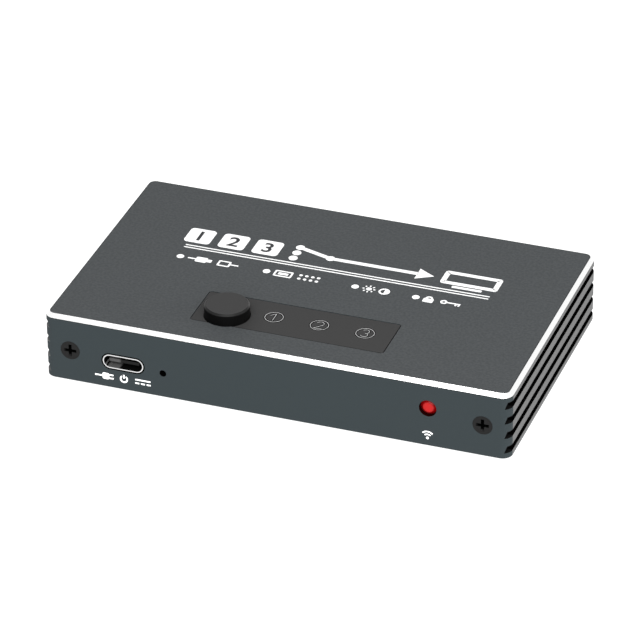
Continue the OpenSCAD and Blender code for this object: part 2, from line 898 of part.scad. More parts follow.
// All contacts of a video socket
module video_contact_set(i) {
    tip = video_mouth - video_tongue_back - contact_back;
    upper = video_tongue_z + video_tongue_t / 2 + contact_rise - contact_t;
    lower = video_tongue_z - video_tongue_t / 2 - contact_rise;
    for (row = [0, 1], k = [0 : video_contact_count - 1 - row]) {
        x = (k - (video_contact_count - 1 - row) / 2) * video_contact_pitch;
        along_x(video_x(i) + x, contact_w)
            contact_path(tip, video_back, row == 0 ? upper : lower, board_top, contact_foot);
    }
}

module video_insert(i) {
    tongue_tip = video_mouth - video_tongue_back;
    color("#1c1c1e")
    difference() {
        translate([video_x(i), 0, 0]) {
            along_y(video_back, video_insert_len)
                translate([0, video_z])
                    video_profile(shell_t);
            along_y(video_back + video_insert_len, tongue_tip - video_back - video_insert_len)
                translate([0, video_tongue_z])
                    square([video_tongue_w, video_tongue_t], center = true);
        }
        video_contact_set(i);
    }
}

module video_contacts(i) {
    color("#d8b45a")
    video_contact_set(i);
}

// Power socket

module power_shell() {
    leg_low = board_z - pin_tail;
    color("#b4b7ba") {
        along_y(front_y, power_len)
            translate([power_x, power_z])
                difference() {
                    stadium(power_w, power_h);
                    stadium(power_w - 2 * shell_t, power_h - 2 * shell_t);
                }
        for (side = [-1, 1], back = power_legs)
            translate([power_x + side * (power_w - shell_t) / 2, front_y + back, (power_z + leg_low) / 2])
                cube([shell_t, leg_w, power_z - leg_low], center = true);
    }
}

module power_contact_set() {
    tip = front_y + power_tongue_back + contact_back;
    upper = power_z + power_tongue_t / 2 + contact_rise - contact_t;
    lower = power_z - power_tongue_t / 2 - contact_rise;
    for (row = [0, 1], k = [-1 : 1]) {
        x = (k + (row - 0.5) / 2) * power_contact_pitch;
        mirror([0, 1, 0])
            along_x(power_x + x, contact_w)
                contact_path(-tip, -power_back, row == 0 ? upper : lower, board_top, contact_foot);
    }
}

module power_insert() {
    color("#1c1c1e")
    difference() {
        translate([power_x, 0, 0]) {
            along_y(power_back - power_insert_len, power_insert_len)
                translate([0, power_z])
                    stadium(power_w - 2 * shell_t, power_h - 2 * shell_t);
            along_y(front_y + power_tongue_back, power_len - power_insert_len - power_tongue_back)
                translate([0, power_z])
                    square([power_tongue_w, power_tongue_t], center = true);
        }
        power_contact_set();
    }
}

module power_contacts() {
    color("#d8b45a")
    power_contact_set();
}

// Receiver

// Red window: a low truncated cone in the plate's hole, with a flange glued behind the plate
module receiver_window() {
    r = window_d / 2 - window_gap;
    color("#d3242a")
    translate([window_x, front_y, window_z])
        rotate([-90, 0, 0])
            rotate_extrude()
                polygon([
                    [0, window_recess], [window_flat_d / 2, window_recess], [r, window_rim],
                    [r, plate_web], [r + window_flange_w, plate_web],
                    [r + window_flange_w, plate_web + window_flange_t], [0, plate_web + window_flange_t]
                ]);
}

module receiver_module() {
    color("#1d1c1f")
    union() {
        translate([window_x, module_face + module_d / 2, window_z])
            cube([module_w, module_d, module_h], center = true);
        translate([window_x, module_face, window_z])
            rotate([90, 0, 0])
                rotate_extrude()
                    intersection() {
                        circle(module_lens_r);
                        square(module_lens_r);
                    }
    }
}

module receiver_leads() {
    low = board_z - pin_tail;
    color("#c9ccd0")
    for (i = [-1 : 1])
        translate([window_x + i * module_lead_pitch, module_face + module_d / 2, (low + module_low) / 2])
            cube([module_lead_t, module_lead_t, module_low - low], center = true);
}

// Board and the parts on it

module main_board() {
    color("#1d5a38")
    difference() {
        translate([0, 0, board_z + board_t / 2])
            cube([board_w, board_d, board_t], center = true);
        for (i = [0 : len(VIDEO) - 1], side = [-1, 1], back = video_legs)
            translate([video_x(i) + side * (video_w - shell_t) / 2, video_mouth - back, board_z - over])
                cylinder(h = board_t + 2 * over, r = leg_hole_r);
        for (side = [-1, 1], back = power_legs)
            translate([power_x + side * (power_w - shell_t) / 2, front_y + back, board_z - over])
                cylinder(h = board_t + 2 * over, r = leg_hole_r);
        for (i = [-1 : 1])
            translate([window_x + i * module_lead_pitch, module_face + module_d / 2, board_z - over])
                cylinder(h = board_t + 2 * over, r = lead_hole_r);
    }
}

// Soft pad that carries heat from the board under the switching chip to the floor
module thermal_pad() {
    color("#8fa3ad")
    chip_block(chip_at, [pad_w, pad_w, board_lift], floor_z);
}

module switching_chip() {
    dot_r = 0.4;
    dot_depth = 0.1;
    dot_in = 1;
    color("#1b1b1c")
    difference() {
        chip_block(chip_at, [chip_w, chip_w, chip_h], board_top);
        translate([chip_at.x - chip_w / 2 + dot_in, chip_at.y + chip_w / 2 - dot_in, board_top + chip_h])
            cylinder(h = 2 * dot_depth, r = dot_r, center = true);
    }
}

// Body of the control chip, raised off the board by its leads
module control_chip() {
    color("#1b1b1c")
    chip_block(placed(control_at), [control_w, control_d, control_t], board_top + chip_lift);
}

// Gull-wing lead in side view, from a body's side down to the board
module gull_lead(drop, reach, t) {
    polygon([
        [0, drop], [reach / 2, drop], [reach / 2, t], [reach, t],
        [reach, 0], [reach / 2 - t, 0], [reach / 2 - t, drop - t], [0, drop - t]
    ]);
}

module control_leads() {
    lead_w = 0.25;
    lead_t = 0.15;
    reach = 1;
    color("#c9ccd0")
    for (side = [0, 1], i = [0 : control_count - 1])
        translate([placed(control_at).x, placed(control_at).y, board_top])
            mirror([0, side, 0])
                along_x((i - (control_count - 1) / 2) * control_pitch, lead_w)
                    translate([control_d / 2, 0])
                        gull_lead(chip_lift + control_t / 2, reach, lead_t);
}

module crystal() {
    color("#c2c4c6")
    union() {
        chip_block(placed(crystal_at), [crystal_w, crystal_d, crystal_base_h], board_top);
        chip_block(
            placed(crystal_at), [crystal_w - 2 * crystal_step, crystal_d - 2 * crystal_step, crystal_lid_h],
            board_top + crystal_base_h
        );
    }
}

module regulator() {
    color("#1b1b1c")
    chip_block(regulator_at, [regulator_w, regulator_d, regulator_t], board_top + chip_lift);
}

// Three narrow leads on one side and a wide tab on the other
module regulator_leads() {
    lead_w = 0.7;
    lead_t = 0.25;
    reach = 1.75;
    drop = chip_lift + regulator_t / 2;
    color("#c9ccd0")
    translate([regulator_at.x, regulator_at.y, board_top]) {
        for (i = [-1 : 1])
            along_x(i * regulator_pitch, lead_w)
                translate([regulator_d / 2, 0])
                    gull_lead(drop, reach, lead_t);
        mirror([0, 1, 0])
            along_x(0, regulator_tab_w)
                translate([regulator_d / 2, 0])
                    gull_lead(drop, reach, lead_t);
    }
}

// Drum core between a square base and a round top flange
module inductor() {
    color("#3b3a3a")
    translate([inductor_at.x, inductor_at.y, 0])
        union() {
            chip_block([0, 0], [inductor_w, inductor_w, inductor_flange_t], board_top);
            translate([0, 0, board_top])
                cylinder(h = inductor_h, r = inductor_core_r);
            translate([0, 0, board_top + inductor_h - inductor_flange_t])
                cylinder(h = inductor_flange_t, r = inductor_w / 2);
        }
}

// Aluminium cans on square plastic seats
module round_capacitors() {
    color("#b9bcc0")
    for (i = [0, 1])
        translate([round_cap_column - body_w / 2, round_cap_y - i * power_step, 0])
            union() {
                chip_block([0, 0], [round_cap_w, round_cap_w, round_cap_seat], board_top);
                translate([0, 0, board_top])
                    cylinder(h = round_cap_h, r = round_cap_d / 2);
            }
}

// A column of small capacitors on each side of the switching chip, and a pair behind each video socket
module ceramic_capacitors() {
    size = [ceramic_w, ceramic_d, ceramic_h];
    column_x = chip_w / 2 + ceramic_w;
    pair_y = video_back - contact_foot - 2 * ceramic_d;
    color("#b08d62") {
        for (side = [-1, 1], i = [-2 : 2])
            chip_block(chip_at + [side * column_x, i * ceramic_pitch], size, board_top);
        for (i = [0 : len(VIDEO) - 1], side = [-1, 1])
            chip_block([video_x(i) + side * 2 * ceramic_w, pair_y], size, board_top);
    }
}

body_sleeve();
front_panel();
rear_panel();
front_screws();
rear_screws();
rubber_feet();
indicator_overlay();
light_pipes();
indicator_lamps();
pilot_lamp();
select_button();
switch_plunger();
switch_cover();
switch_base();
switch_dome();
switch_terminals();
for (i = [0 : len(VIDEO) - 1]) {
    video_shell(i);
    video_insert(i);
    video_contacts(i);
}
power_shell();
power_insert();
power_contacts();
receiver_window();
receiver_module();
receiver_leads();
main_board();
thermal_pad();
switching_chip();
control_chip();
control_leads();
crystal();
regulator();
regulator_leads();
inductor();
round_capacitors();
ceramic_capacitors();
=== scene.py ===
"""Looks of a finned video switch box, laid over its packed solids."""

import math

import bmesh
import bpy
from bpy.props import FloatProperty, FloatVectorProperty, PointerProperty
from bpy.types import Operator, Panel, PropertyGroup
from mathutils import Matrix, Vector


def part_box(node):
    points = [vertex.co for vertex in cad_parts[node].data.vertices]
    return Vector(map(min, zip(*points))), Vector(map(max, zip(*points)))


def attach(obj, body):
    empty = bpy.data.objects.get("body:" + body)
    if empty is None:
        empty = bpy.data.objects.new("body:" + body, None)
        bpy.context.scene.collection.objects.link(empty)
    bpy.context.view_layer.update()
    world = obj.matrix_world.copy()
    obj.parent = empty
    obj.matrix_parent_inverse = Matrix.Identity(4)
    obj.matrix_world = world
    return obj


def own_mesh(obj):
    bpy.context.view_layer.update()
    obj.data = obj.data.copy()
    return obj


bl_info = {
    "name": "Video switch box looks",
    "version": (1, 0, 0),
    "blender": (4, 5, 0),
    "location": "View3D > Sidebar > Switch Box",
    "description": "Finishes, printed marks and studio stage for a finned video switch box",
    "category": "Object",
}

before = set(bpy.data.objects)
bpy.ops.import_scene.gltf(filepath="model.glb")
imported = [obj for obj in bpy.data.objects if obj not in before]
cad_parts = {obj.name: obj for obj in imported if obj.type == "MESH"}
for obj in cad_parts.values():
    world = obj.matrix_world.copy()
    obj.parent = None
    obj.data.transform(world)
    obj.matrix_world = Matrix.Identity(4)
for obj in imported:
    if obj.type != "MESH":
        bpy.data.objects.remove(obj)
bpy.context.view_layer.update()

MM = 0.001


def middle_of(name):
    """Middle of a packed solid's box."""
    low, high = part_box(name)
    return (low + high) / 2


# Places on the packed solids, in metres
SLEEVE_LOW, SLEEVE_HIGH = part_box("body_sleeve")
HALF_WIDTH = SLEEVE_HIGH.x
UNDERSIDE = SLEEVE_LOW.z
TOP = SLEEVE_HIGH.z
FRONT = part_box("front_panel")[0].y
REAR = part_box("rear_panel")[1].y
OVERLAY_LOW, OVERLAY_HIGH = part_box("indicator_overlay")
BUTTON = middle_of("select_button")
BUTTON_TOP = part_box("select_button")[1].z
POWER = middle_of("power_shell")
POWER_LOW, POWER_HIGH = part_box("power_shell")
WINDOW_LOW, WINDOW_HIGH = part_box("receiver_window")
WINDOW = middle_of("receiver_window")
PILOT = middle_of("pilot_lamp")
LAMPS_LOW, LAMPS_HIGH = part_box("light_pipes")
INPUTS = ["input_1", "input_2", "input_3"]
SOCKETS = INPUTS + ["output"]
# Slack that keeps a mask's border clear of the surface that it ends on
SLIP = 0.012 * MM
RIGHT = Vector((1, 0, 0))
BACKWARDS = Vector((0, 1, 0))
UP = Vector((0, 0, 1))
# Share of its size by which a printed figure is thickened
FIGURE_SWELL = 0.02


# Sizes and colours that a user may change


def length(name, description, millimetres):
    return FloatProperty(
        name=name, description=description, default=millimetres * MM, unit="LENGTH", precision=5
    )


def turn(name, description, degrees):
    return FloatProperty(
        name=name, description=description, default=math.radians(degrees), unit="ROTATION"
    )


def power(name, description, watts):
    return FloatProperty(name=name, description=description, default=watts, unit="POWER")


def amount(name, description, default):
    return FloatProperty(name=name, description=description, default=default, subtype="FACTOR")


def colour(name, description, red, green, blue):
    return FloatVectorProperty(
        name=name, description=description, default=(red, green, blue), subtype="COLOR", min=0, max=1
    )


def neutral(name, description, level):
    return colour(name, description, level, level, level)


def place(name, description, *millimetres):
    metres = [value * MM for value in millimetres]
    return FloatVectorProperty(
        name=name, description=description, default=metres, subtype="TRANSLATION", unit="LENGTH"
    )


class HousingLook(PropertyGroup):
    """Finish of the sleeve, the end plates, the screws and the feet."""

    anodised: colour("Anodising", "Blasted and anodised top", 0.0592, 0.064, 0.0668)
    # Painted shade: upright faces take a darker, cooler copy of the top's anodising, for the light that falls
    # on them
    upright: colour("Upright faces", "Anodised faces that stand upright", 0.0236, 0.0311, 0.034)
    # Lands are partly rubbed lighter and partly painted light, standing in for the side light that falls on
    # them
    land: neutral("Lands", "Lands between the grooves, rubbed lighter", 0.1145)
    # Painted shade: near-black for the inside of the grooves, also used in the screw recesses
    groove: neutral("Grooves", "Inside of the cooling grooves", 0.001)
    groove_end: neutral("Groove ends", "Ends of the grooves, which little light reaches", 0.006)
    groove_left: neutral("Left groove ends", "Ends of the left grooves, open to the light", 0.13)
    bore: colour("Window hole", "Wall of the window's hole, lit red by the window", 0.012, 0.001, 0.001)
    cut: neutral("Cut edge", "Bright cut chamfer round the top", 0.97)
    screw: colour("Screws", "Blackened screws", 0.0075, 0.0074, 0.0074)
    rubber: neutral("Feet", "Rubber feet", 0.012)
    grain: length("Grain", "Size of the blasted grain", 0.55)
    cloud: length("Clouds", "Size of the faint unevenness of the anodising", 14)
    chamfer: length("Chamfer", "Height of the bright cut chamfer", 0.8)
    corner: length("Corner", "Radius of the upright corners", 2.2)
    rim: length("Rim", "Width of the border that the bright cut lies in", 4)
    line: length("Edge line", "Dark line on both sides of the bright cut", 0.16)
    skin: length("Skin", "Depth where the walls of the cut-outs start", 1.2)
    groove_first: length("First groove", "Height of the lowest groove above the underside", 1.2)
    groove_pitch: length("Groove pitch", "Distance from one groove to the next", 3.46)
    groove_height: length("Groove height", "Height of a groove at its mouth", 1.42)
    groove_lip: length("Groove lip", "Height of the dark line over a groove", 0.16)
    socket_gap: length("Socket gap", "Width of the dark line round the power socket", 0.32)
    socket_rim: length("Socket rim", "Width of the bright rim of the power socket", 0.22)
    socket_height: length("Socket height", "Height of the power socket's mouth, with its shell", 3.2)
    pilot: length("Pilot hole", "Reach of the dark pilot hole from its axis", 0.8)
    groove_depth_low: length("Groove depth below", "Depth along a groove's lower edge", 1.23)
    groove_depth_top: length("Groove depth above", "Depth along a groove's upper edge", 0.76)


class ControlLook(PropertyGroup):
    """Finish of the overlay, the button and its switch, the receiver and the lamps."""

    overlay: colour("Overlay", "Indicator overlay", 0.038, 0.0378, 0.0378)
    overlay_edge: neutral("Overlay edge", "Shaded edges of the indicator overlay", 0.002)
    button_face: colour("Button face", "Satin top of the button", 0.037, 0.0368, 0.0368)
    # Painted shade on the button's side and a painted highlight on its bevel, both on one dark plastic
    button_side: neutral("Button side", "Dark side of the button", 0.001)
    button_bevel: colour("Button bevel", "Bevel round the button's face", 0.064, 0.063, 0.063)
    button_front: neutral("Button front", "Front of the bevel, in its own shade", 0.008)
    window: colour("Window", "Flat face of the receiver window", 0.34, 0.0042, 0.0044)
    # Painted shade: the window's sloping rim takes a darker copy of its red
    window_bevel: colour("Window bevel", "Sloping rim of the receiver window", 0.2, 0.001, 0.0014)
    pipe: colour("Light pipes", "Clear light pipes", 0.8, 0.83, 0.85)
    lamp: colour("Lamps", "Bodies of the indicator lamps", 0.75, 0.72, 0.62)
    pilot: colour("Pilot lamp", "Smoked lens of the pilot lamp", 0.006, 0.006, 0.007)
    switch_plastic: colour("Switch plastic", "Base and plunger of the push switch", 0.012, 0.012, 0.013)
    switch_steel: neutral("Switch steel", "Cover and snap dome of the push switch", 0.6)
    module: colour("Receiver", "Moulded receiver module", 0.014, 0.013, 0.016)
    tin: colour("Leads", "Tinned terminals and leads", 0.66, 0.66, 0.65)
    window_flat: length("Window face", "Radius where the window starts to darken", 0.75)
    window_rim: length("Window rim", "Radius where the window is darkest", 1.25)
    film_grain: length("Film grain", "Size of the overlay's fine grain", 0.2)
    film_edge: length("Film edge", "Width of the overlay's shaded edges", 0.1)
    bevel_height: length("Bevel height", "Height of the bevel round the button's face", 0.45)


class SocketLook(PropertyGroup):
    """Finish of the power socket and the video sockets."""

    steel: neutral("Shells", "Plated shells", 0.7)
    gloss: amount("Shell roughness", "Roughness of the plated shells", 0.26)
    plastic: neutral("Inserts", "Black inserts of the video sockets", 0.007)
    gold: colour("Contacts", "Gold-flashed contacts of the video sockets", 0.62, 0.44, 0.16)
    shaded_gold: colour("Power contacts", "Contacts deep inside the power socket", 0.06, 0.05, 0.03)
    # Painted shade and painted light inside the power socket: dark tones, lighter in a band where light
    # reaches
    shell_dark: neutral("Power shell inside", "Inside of the power socket's shell", 0.003)
    shell_lit: neutral("Power shell in light", "Inside of the shell where light reaches it", 0.08)
    insert_dark: neutral("Power insert", "The power socket's insert", 0.004)
    insert_lit: neutral("Power insert in light", "The power socket's insert where light reaches it", 0.06)
    # Light inside the power socket, measured from its middle
    band_left: length("Light start", "Left end of the light", -3.6)
    band_right: length("Light end", "Right end of the light", -0.6)
    fade_left: length("Fade left", "How far the light fades at its left end", 0.4)
    fade_right: length("Fade right", "How far the light fades at its right end", 0.5)
    edge_place: length("Lit edge", "Place of the thin lit edge", -3.85)
    edge_reach: length("Lit edge reach", "Half the width of the thin lit edge", 0.1)


class BoardLook(PropertyGroup):
    """Finish of the circuit board and its parts."""

    mask: colour("Solder mask", "Green solder mask", 0.012, 0.085, 0.035)
    track: colour("Tracks", "Solder mask over the tracks", 0.03, 0.17, 0.07)
    pad: colour("Thermal pad", "Silicone pad under the switching chip", 0.33, 0.42, 0.48)
    chip: colour("Chips", "Moulded chips", 0.016, 0.016, 0.017)
    tin: colour("Leads", "Tinned leads of the chips", 0.66, 0.66, 0.65)
    crystal: colour("Crystal", "Steel can of the crystal", 0.65, 0.65, 0.64)
    ferrite: colour("Inductor", "Ferrite of the inductor", 0.045, 0.043, 0.043)
    can: colour("Round capacitors", "Aluminium cans of the round capacitors", 0.7, 0.71, 0.72)
    ceramic: colour("Ceramic capacitors", "Bodies of the ceramic capacitors", 0.42, 0.27, 0.13)


class PrintLook(PropertyGroup):
    """Printed marks on the top, the overlay, the front and the rear."""

    white: neutral("White ink", "White print on the anodising", 0.88)
    grey: neutral("Grey ink", "Light grey print on the overlay", 0.47)
    dark: colour("Dark ink", "Numbers on the white tiles", 0.035, 0.037, 0.04)
    # Painted shadow: a dark border along the overlay's lines, as if they were embossed
    shadow: neutral("Shadow ink", "Dark borders of the print on the overlay", 0.004)
    ink: length("Ink", "Thickness of the ink", 0.02)
    title_y: length("Title place", "Middle of the large pictogram, front to rear", 10.0)
    title_left: length("Title start", "Left end of the large pictogram", -33.9)
    title_right: length("Title end", "Right end of the large pictogram", 35.4)
    tile: length("Tile", "Side of a numbered tile", 5.8)
    tile_corner: length("Tile corner", "Corner radius of a numbered tile", 0.9)
    tile_figure: amount("Tile figure", "Height of a tile's number as a share of the tile", 0.66)
    tile_pitch: length("Tile pitch", "Distance from one numbered tile to the next", 7.6)
    bold: length("Bold line", "Width of the lines of the large pictogram", 1.1)
    selector: length("Selector", "Distance from one end of the selector to the next", 2.3)
    screen: length("Screen", "Width of the drawn screen", 12.5)
    rule_y: length("Rule place", "Place of the double rule, front to rear", 5.3)
    rule_left: length("Rule start", "Left end of the double rule", -32.7)
    rule_right: length("Rule end", "Right end of the double rule", 34.65)
    rule_gap: length("Rule gap", "Distance between the two rules", 0.93)
    rule_width: length("Rule width", "Width of one rule", 0.34)
    dots_y: length("Dots place", "Place of the row of dots, front to rear", 0.78)
    dot: length("Dot", "Diameter of a dot", 1.6)
    fine: length("Fine line", "Width of the lines of the small icons", 0.4)
    panel_v: length("Panel marks", "Height of the marks on the front and the rear", 3.5)
    panel_line: length("Panel line", "Width of the lines of the power marks", 0.34)
    panel_figure: length("Panel figure", "Height of the numbers on the rear", 1.7)
    signal_v: length("Signal mark", "Height of the signal mark's dot", 2.75)
    signal_line: length("Signal line", "Width of the signal mark's arcs", 0.32)
    ring: length("Ring", "Diameter of the rings round the overlay's numbers", 3.9)
    hair: length("Hair line", "Width of the lines on the overlay", 0.105)
    border: length("Border", "Width of the dark border of the lines on the overlay", 0.22)
    figure: length("Figure", "Height of the overlay's numbers", 2.7)
    figure_right: length("Figures right", "How far right of its lamp each number stands", -0.2)
    figure_back: length("Figures back", "How far behind its lamp each number stands", 0.4)


class StageLook(PropertyGroup):
    """Floor, studio lights and camera."""

    floor: neutral("Floor", "Pale floor", 0.2)
    floor_glow: neutral("Floor glow", "Light that the lit table gives off", 1.0)
    glow_strength: amount("Glow strength", "Strength of the light that the table gives off", 1.05)
    surround: neutral("Surround", "Soft light all round", 1.0)
    surround_back: neutral("Surround behind", "Soft light from high up at the back", 0.15)
    surround_strength: amount("Surround strength", "Strength of the soft light all round", 1.0)
    key: power("Key light", "Large light beside the camera", 11.7)
    side: power("Side light", "Strip light on the right", 3.0)
    key_place: place("Key place", "Where the key light stands", 250, -700, 500)
    key_side: length("Key side", "Side of the square key light", 900)
    side_place: place("Side place", "Where the side light stands", 750, 50, 120)
    side_wide: length("Side width", "Width of the side light", 500)
    side_high: length("Side height", "Height of the side light", 300)
    floor_reach: length("Floor reach", "How far the floor reaches from the middle", 4000)
    azimuth: turn("Azimuth", "Camera's turn to the right of the front", 19.833)
    elevation: turn("Elevation", "How steeply the camera looks down", 31.005)
    roll: turn("Roll", "Tilt of the camera about its line of sight", -0.5)
    distance: length("Distance", "From the camera to the point that it aims at", 959.27)
    aim_right: length("Aim right", "How far right of the middle the camera aims", -0.65)
    aim_up: length("Aim up", "How far above the middle the camera aims", 5.139)
    lens: length("Lens", "Focal length of the camera", 257.16)
    sensor: length("Sensor", "Width of the camera's sensor", 36)


# Shader values that take part in Python expressions


def operation(kind, reflected=False):
    """A method of a wire that adds one Math node."""

    def method(self, *others):
        values = (*others, self) if reflected else (self, *others)
        return self.finish.math(kind, *values)

    return method


class Wire:
    """A shader value; each operation on it adds one Math node."""

    def __init__(self, finish, socket):
        self.finish = finish
        self.socket = socket

    __add__ = operation("ADD")
    __radd__ = operation("ADD", reflected=True)
    __sub__ = operation("SUBTRACT")
    __rsub__ = operation("SUBTRACT", reflected=True)
    __mul__ = operation("MULTIPLY")
    __rmul__ = operation("MULTIPLY", reflected=True)
    __mod__ = operation("FLOORED_MODULO")
    __gt__ = operation("GREATER_THAN")
    __lt__ = operation("LESS_THAN")
    __abs__ = operation("ABSOLUTE")


class Nodes:
    """A node tree under construction."""

    def __init__(self, tree, coordinates):
        self.tree = tree
        self.place = self.node("ShaderNodeTexCoord", output=coordinates)

    def plug(self, node, sockets):
        """Sets each named socket of a node to a number, a colour or a wire."""
        for key, value in sockets.items():
            if isinstance(value, Wire):
                self.tree.links.new(value.socket, node.inputs[key])
            else:
                node.inputs[key].default_value = value

    def node(self, kind, settings=None, sockets=None, output=0):
        """Adds a node of any type and gives back one of its outputs."""
        made = self.tree.nodes.new(kind)
        for key, value in (settings or {}).items():
            setattr(made, key, value)
        self.plug(made, sockets or {})
        return Wire(self, made.outputs[output])

    def math(self, operation, *values):
        return self.node("ShaderNodeMath", {"operation": operation}, dict(enumerate(values)))

    def axes(self, names="XYZ"):
        """The coordinates with the given names."""
        return [self.node("ShaderNodeSeparateXYZ", None, {0: self.place}, axis) for axis in names]

    def ramp(self, value, low, high):
        """A smooth step from 0 at low to 1 at high."""
        settings = {"interpolation_type": "SMOOTHSTEP"}
        return self.node("ShaderNodeMapRange", settings, {"Value": value, "From Min": low, "From Max": high})

    def blend(self, factor, first, second):
        """One colour giving way to another."""
        pair = [tone if isinstance(tone, Wire) else (*tone, 1) for tone in (first, second)]
        sockets = {0: factor, 6: pair[0], 7: pair[1]}
        return self.node("ShaderNodeMix", {"data_type": "RGBA"}, sockets, output=2)


class Finish(Nodes):
    """A material under construction, with one Principled shader."""

    def __init__(self, name):
        self.material = bpy.data.materials.new(name)
        self.material.use_nodes = True
        self.material.node_tree.nodes.clear()
        super().__init__(self.material.node_tree, "Object")
        self.shader = self.tree.nodes.new("ShaderNodeBsdfPrincipled")
        self.output = self.tree.nodes.new("ShaderNodeOutputMaterial")
        self.tree.links.new(self.shader.outputs["BSDF"], self.output.inputs["Surface"])

    def noise(self, size, detail=2.0, vector=None):
        """Noise from 0 to 1 whose features have the given size."""
        sockets = {"Vector": vector or self.place, "Scale": 1 / size, "Detail": detail}
        return self.node("ShaderNodeTexNoise", None, sockets)

    def stretched(self, x, y, z):
        """Object coordinates drawn out along an axis, for lines and brushing."""
        return self.node("ShaderNodeMapping", None, {"Vector": self.place, "Scale": (x, y, z)})

    def rounded(self, beyond_x, beyond_y, radius):
        """Distance outside a rectangle with rounded corners, from the distances beyond its sides."""
        past = [side + radius for side in (beyond_x, beyond_y)]
        out_x, out_y = [self.math("MAXIMUM", value, 0.0) for value in past]
        outside = self.math("SQRT", out_x * out_x + out_y * out_y)
        inside = self.math("MINIMUM", self.math("MAXIMUM", *past), 0.0)
        return outside + inside - radius

    def speckle(self, tone, noise, spread):
        """A colour that noise lightens and darkens by the given share."""
        return self.blend(noise, shade(tone, 1 - spread), shade(tone, 1 + spread))

    def bump(self, height, relief):
        """A normal from a height of 0 to 1 that stands for the given relief."""
        return self.node("ShaderNodeBump", None, {"Height": height, "Distance": relief})

    def surface(self, **sockets):
        """Sets the shader's sockets, named with underscores, and gives back the material."""
        self.plug(self.shader, {key.replace("_", " "): value for key, value in sockets.items()})
        return self.material

    def hollow(self, mask, tone):
        """Paints shade: lets a dull dark finish take over where the mask is 1, for places that no light
        reaches.
        """
        base = tone if isinstance(tone, Wire) else (*tone, 1)
        sockets = {"Base Color": base, "Roughness": 1.0, "Specular IOR Level": 0.0}
        dull = self.node("ShaderNodeBsdfPrincipled", None, sockets)
        lit = Wire(self, self.shader.outputs["BSDF"])
        mixed = self.node("ShaderNodeMixShader", None, {0: mask, 1: lit, 2: dull})
        self.tree.links.new(mixed.socket, self.output.inputs["Surface"])


def shade(tone, factor):
    return tuple(min(1.0, channel * factor) for channel in tone)


# Finishes


def from_axis(finish, x, z, middle):
    """Distance from the axis of a front hole, through the middle of the piece behind it."""
    along_x = x - middle.x
    along_z = z - middle.z
    return finish.math("SQRT", along_x * along_x + along_z * along_z)


def from_socket(finish, x, z, height):
    """Distance outside the power socket's mouth, which has round ends."""
    half = (POWER_HIGH.x - POWER_LOW.x) / 2
    beyond_z = abs(z - (POWER_HIGH.z - height / 2)) - height / 2
    return finish.rounded(abs(x - POWER.x) - half, beyond_z, height / 2)


def anodised_finish(name, look):
    """Blasted dark anodising with a bright cut chamfer; upright faces painted darker than the top, lands
    rubbed lighter and painted lighter still as if lit from the side, and painted shade in the grooves and
    cut-outs.
    """
    finish = Finish(name)
    x, y, z = finish.axes()
    across = abs(x)
    along = abs(y)
    fine = finish.noise(look.grain, 3)
    cloud = finish.noise(look.cloud, 2)
    lines = finish.noise(0.05 * MM, 2, finish.stretched(0.02, 0.02, 1))
    outward = finish.rounded(across - HALF_WIDTH, along - REAR, look.corner)
    rim = outward > -look.rim
    top = z > TOP - SLIP
    below = z < TOP - look.chamfer + SLIP
    cut = rim * (1 - top) * (1 - below)
    land = (across > HALF_WIDTH - SLIP) * below
    rise = (z - (UNDERSIDE + look.groove_first - SLIP)) % look.groove_pitch
    slope = (look.groove_depth_low - look.groove_depth_top) / look.groove_height
    bottom = HALF_WIDTH - look.groove_depth_low - SLIP
    groove = (rise < look.groove_height + look.groove_lip) * (across > rise * slope + bottom) * below
    end = along > REAR - look.corner
    window = from_axis(finish, x, z, WINDOW) < (WINDOW_HIGH.x - WINDOW_LOW.x) / 2
    pilot = from_axis(finish, x, z, PILOT) < look.pilot
    holes = finish.math("MAXIMUM", window, pilot) * (y < 0.0) * (along < REAR - SLIP)
    gap = (from_socket(finish, x, z, look.socket_height) < look.socket_gap) * (y < 0.0)
    walls = (outward < -look.skin) * (z < TOP - look.skin) * (z > UNDERSIDE + look.skin)
    beside = top * (outward > -(look.chamfer + look.line))
    under = rim * below * (z > TOP - look.chamfer - look.line)
    grain = finish.ramp(fine, 0.3, 0.7) * 0.85 + cloud * 0.15
    # Painted shade: upright faces get a darker, cooler tone than the top
    upright_shaded_tone = finish.speckle(look.upright, grain, 0.03)
    tone = finish.blend(top, upright_shaded_tone, finish.speckle(look.anodised, grain, 0.16))
    # Painted light with some rubbed finish: the lands take a much lighter tone
    tone = finish.blend(land, tone, finish.speckle(look.land, lines, 0.1))
    tone = finish.blend((beside + under) * 0.5, tone, look.groove)
    tone = finish.blend(cut, tone, look.cut)
    matte = 1 - cut
    rough = matte * (0.6 + fine * 0.16) + cut * (0.14 + lines * 0.14)
    # Painted shade in the grooves, cut-out walls, holes and the gap round the power socket; the groove ends
    # get a lighter painted shade, the left groove ends painted light, the window's hole a painted red
    # reflection
    dark = finish.blend(groove * end, look.groove, look.groove_end)
    dark = finish.blend(groove * end * (x < 0.0), dark, look.groove_left)
    dark = finish.blend(window * holes, dark, look.bore)
    painted_shade_mask = groove
    for mask in (walls, holes, gap):
        painted_shade_mask = finish.math("MAXIMUM", painted_shade_mask, mask)
    finish.hollow(painted_shade_mask, dark)
    return finish.surface(
        Base_Color=tone,
        Roughness=rough,
        Metallic=matte * 0.15 + cut,
        Specular_IOR_Level=0.15,
        Normal=finish.bump(fine * matte, 0.004 * MM),
    )


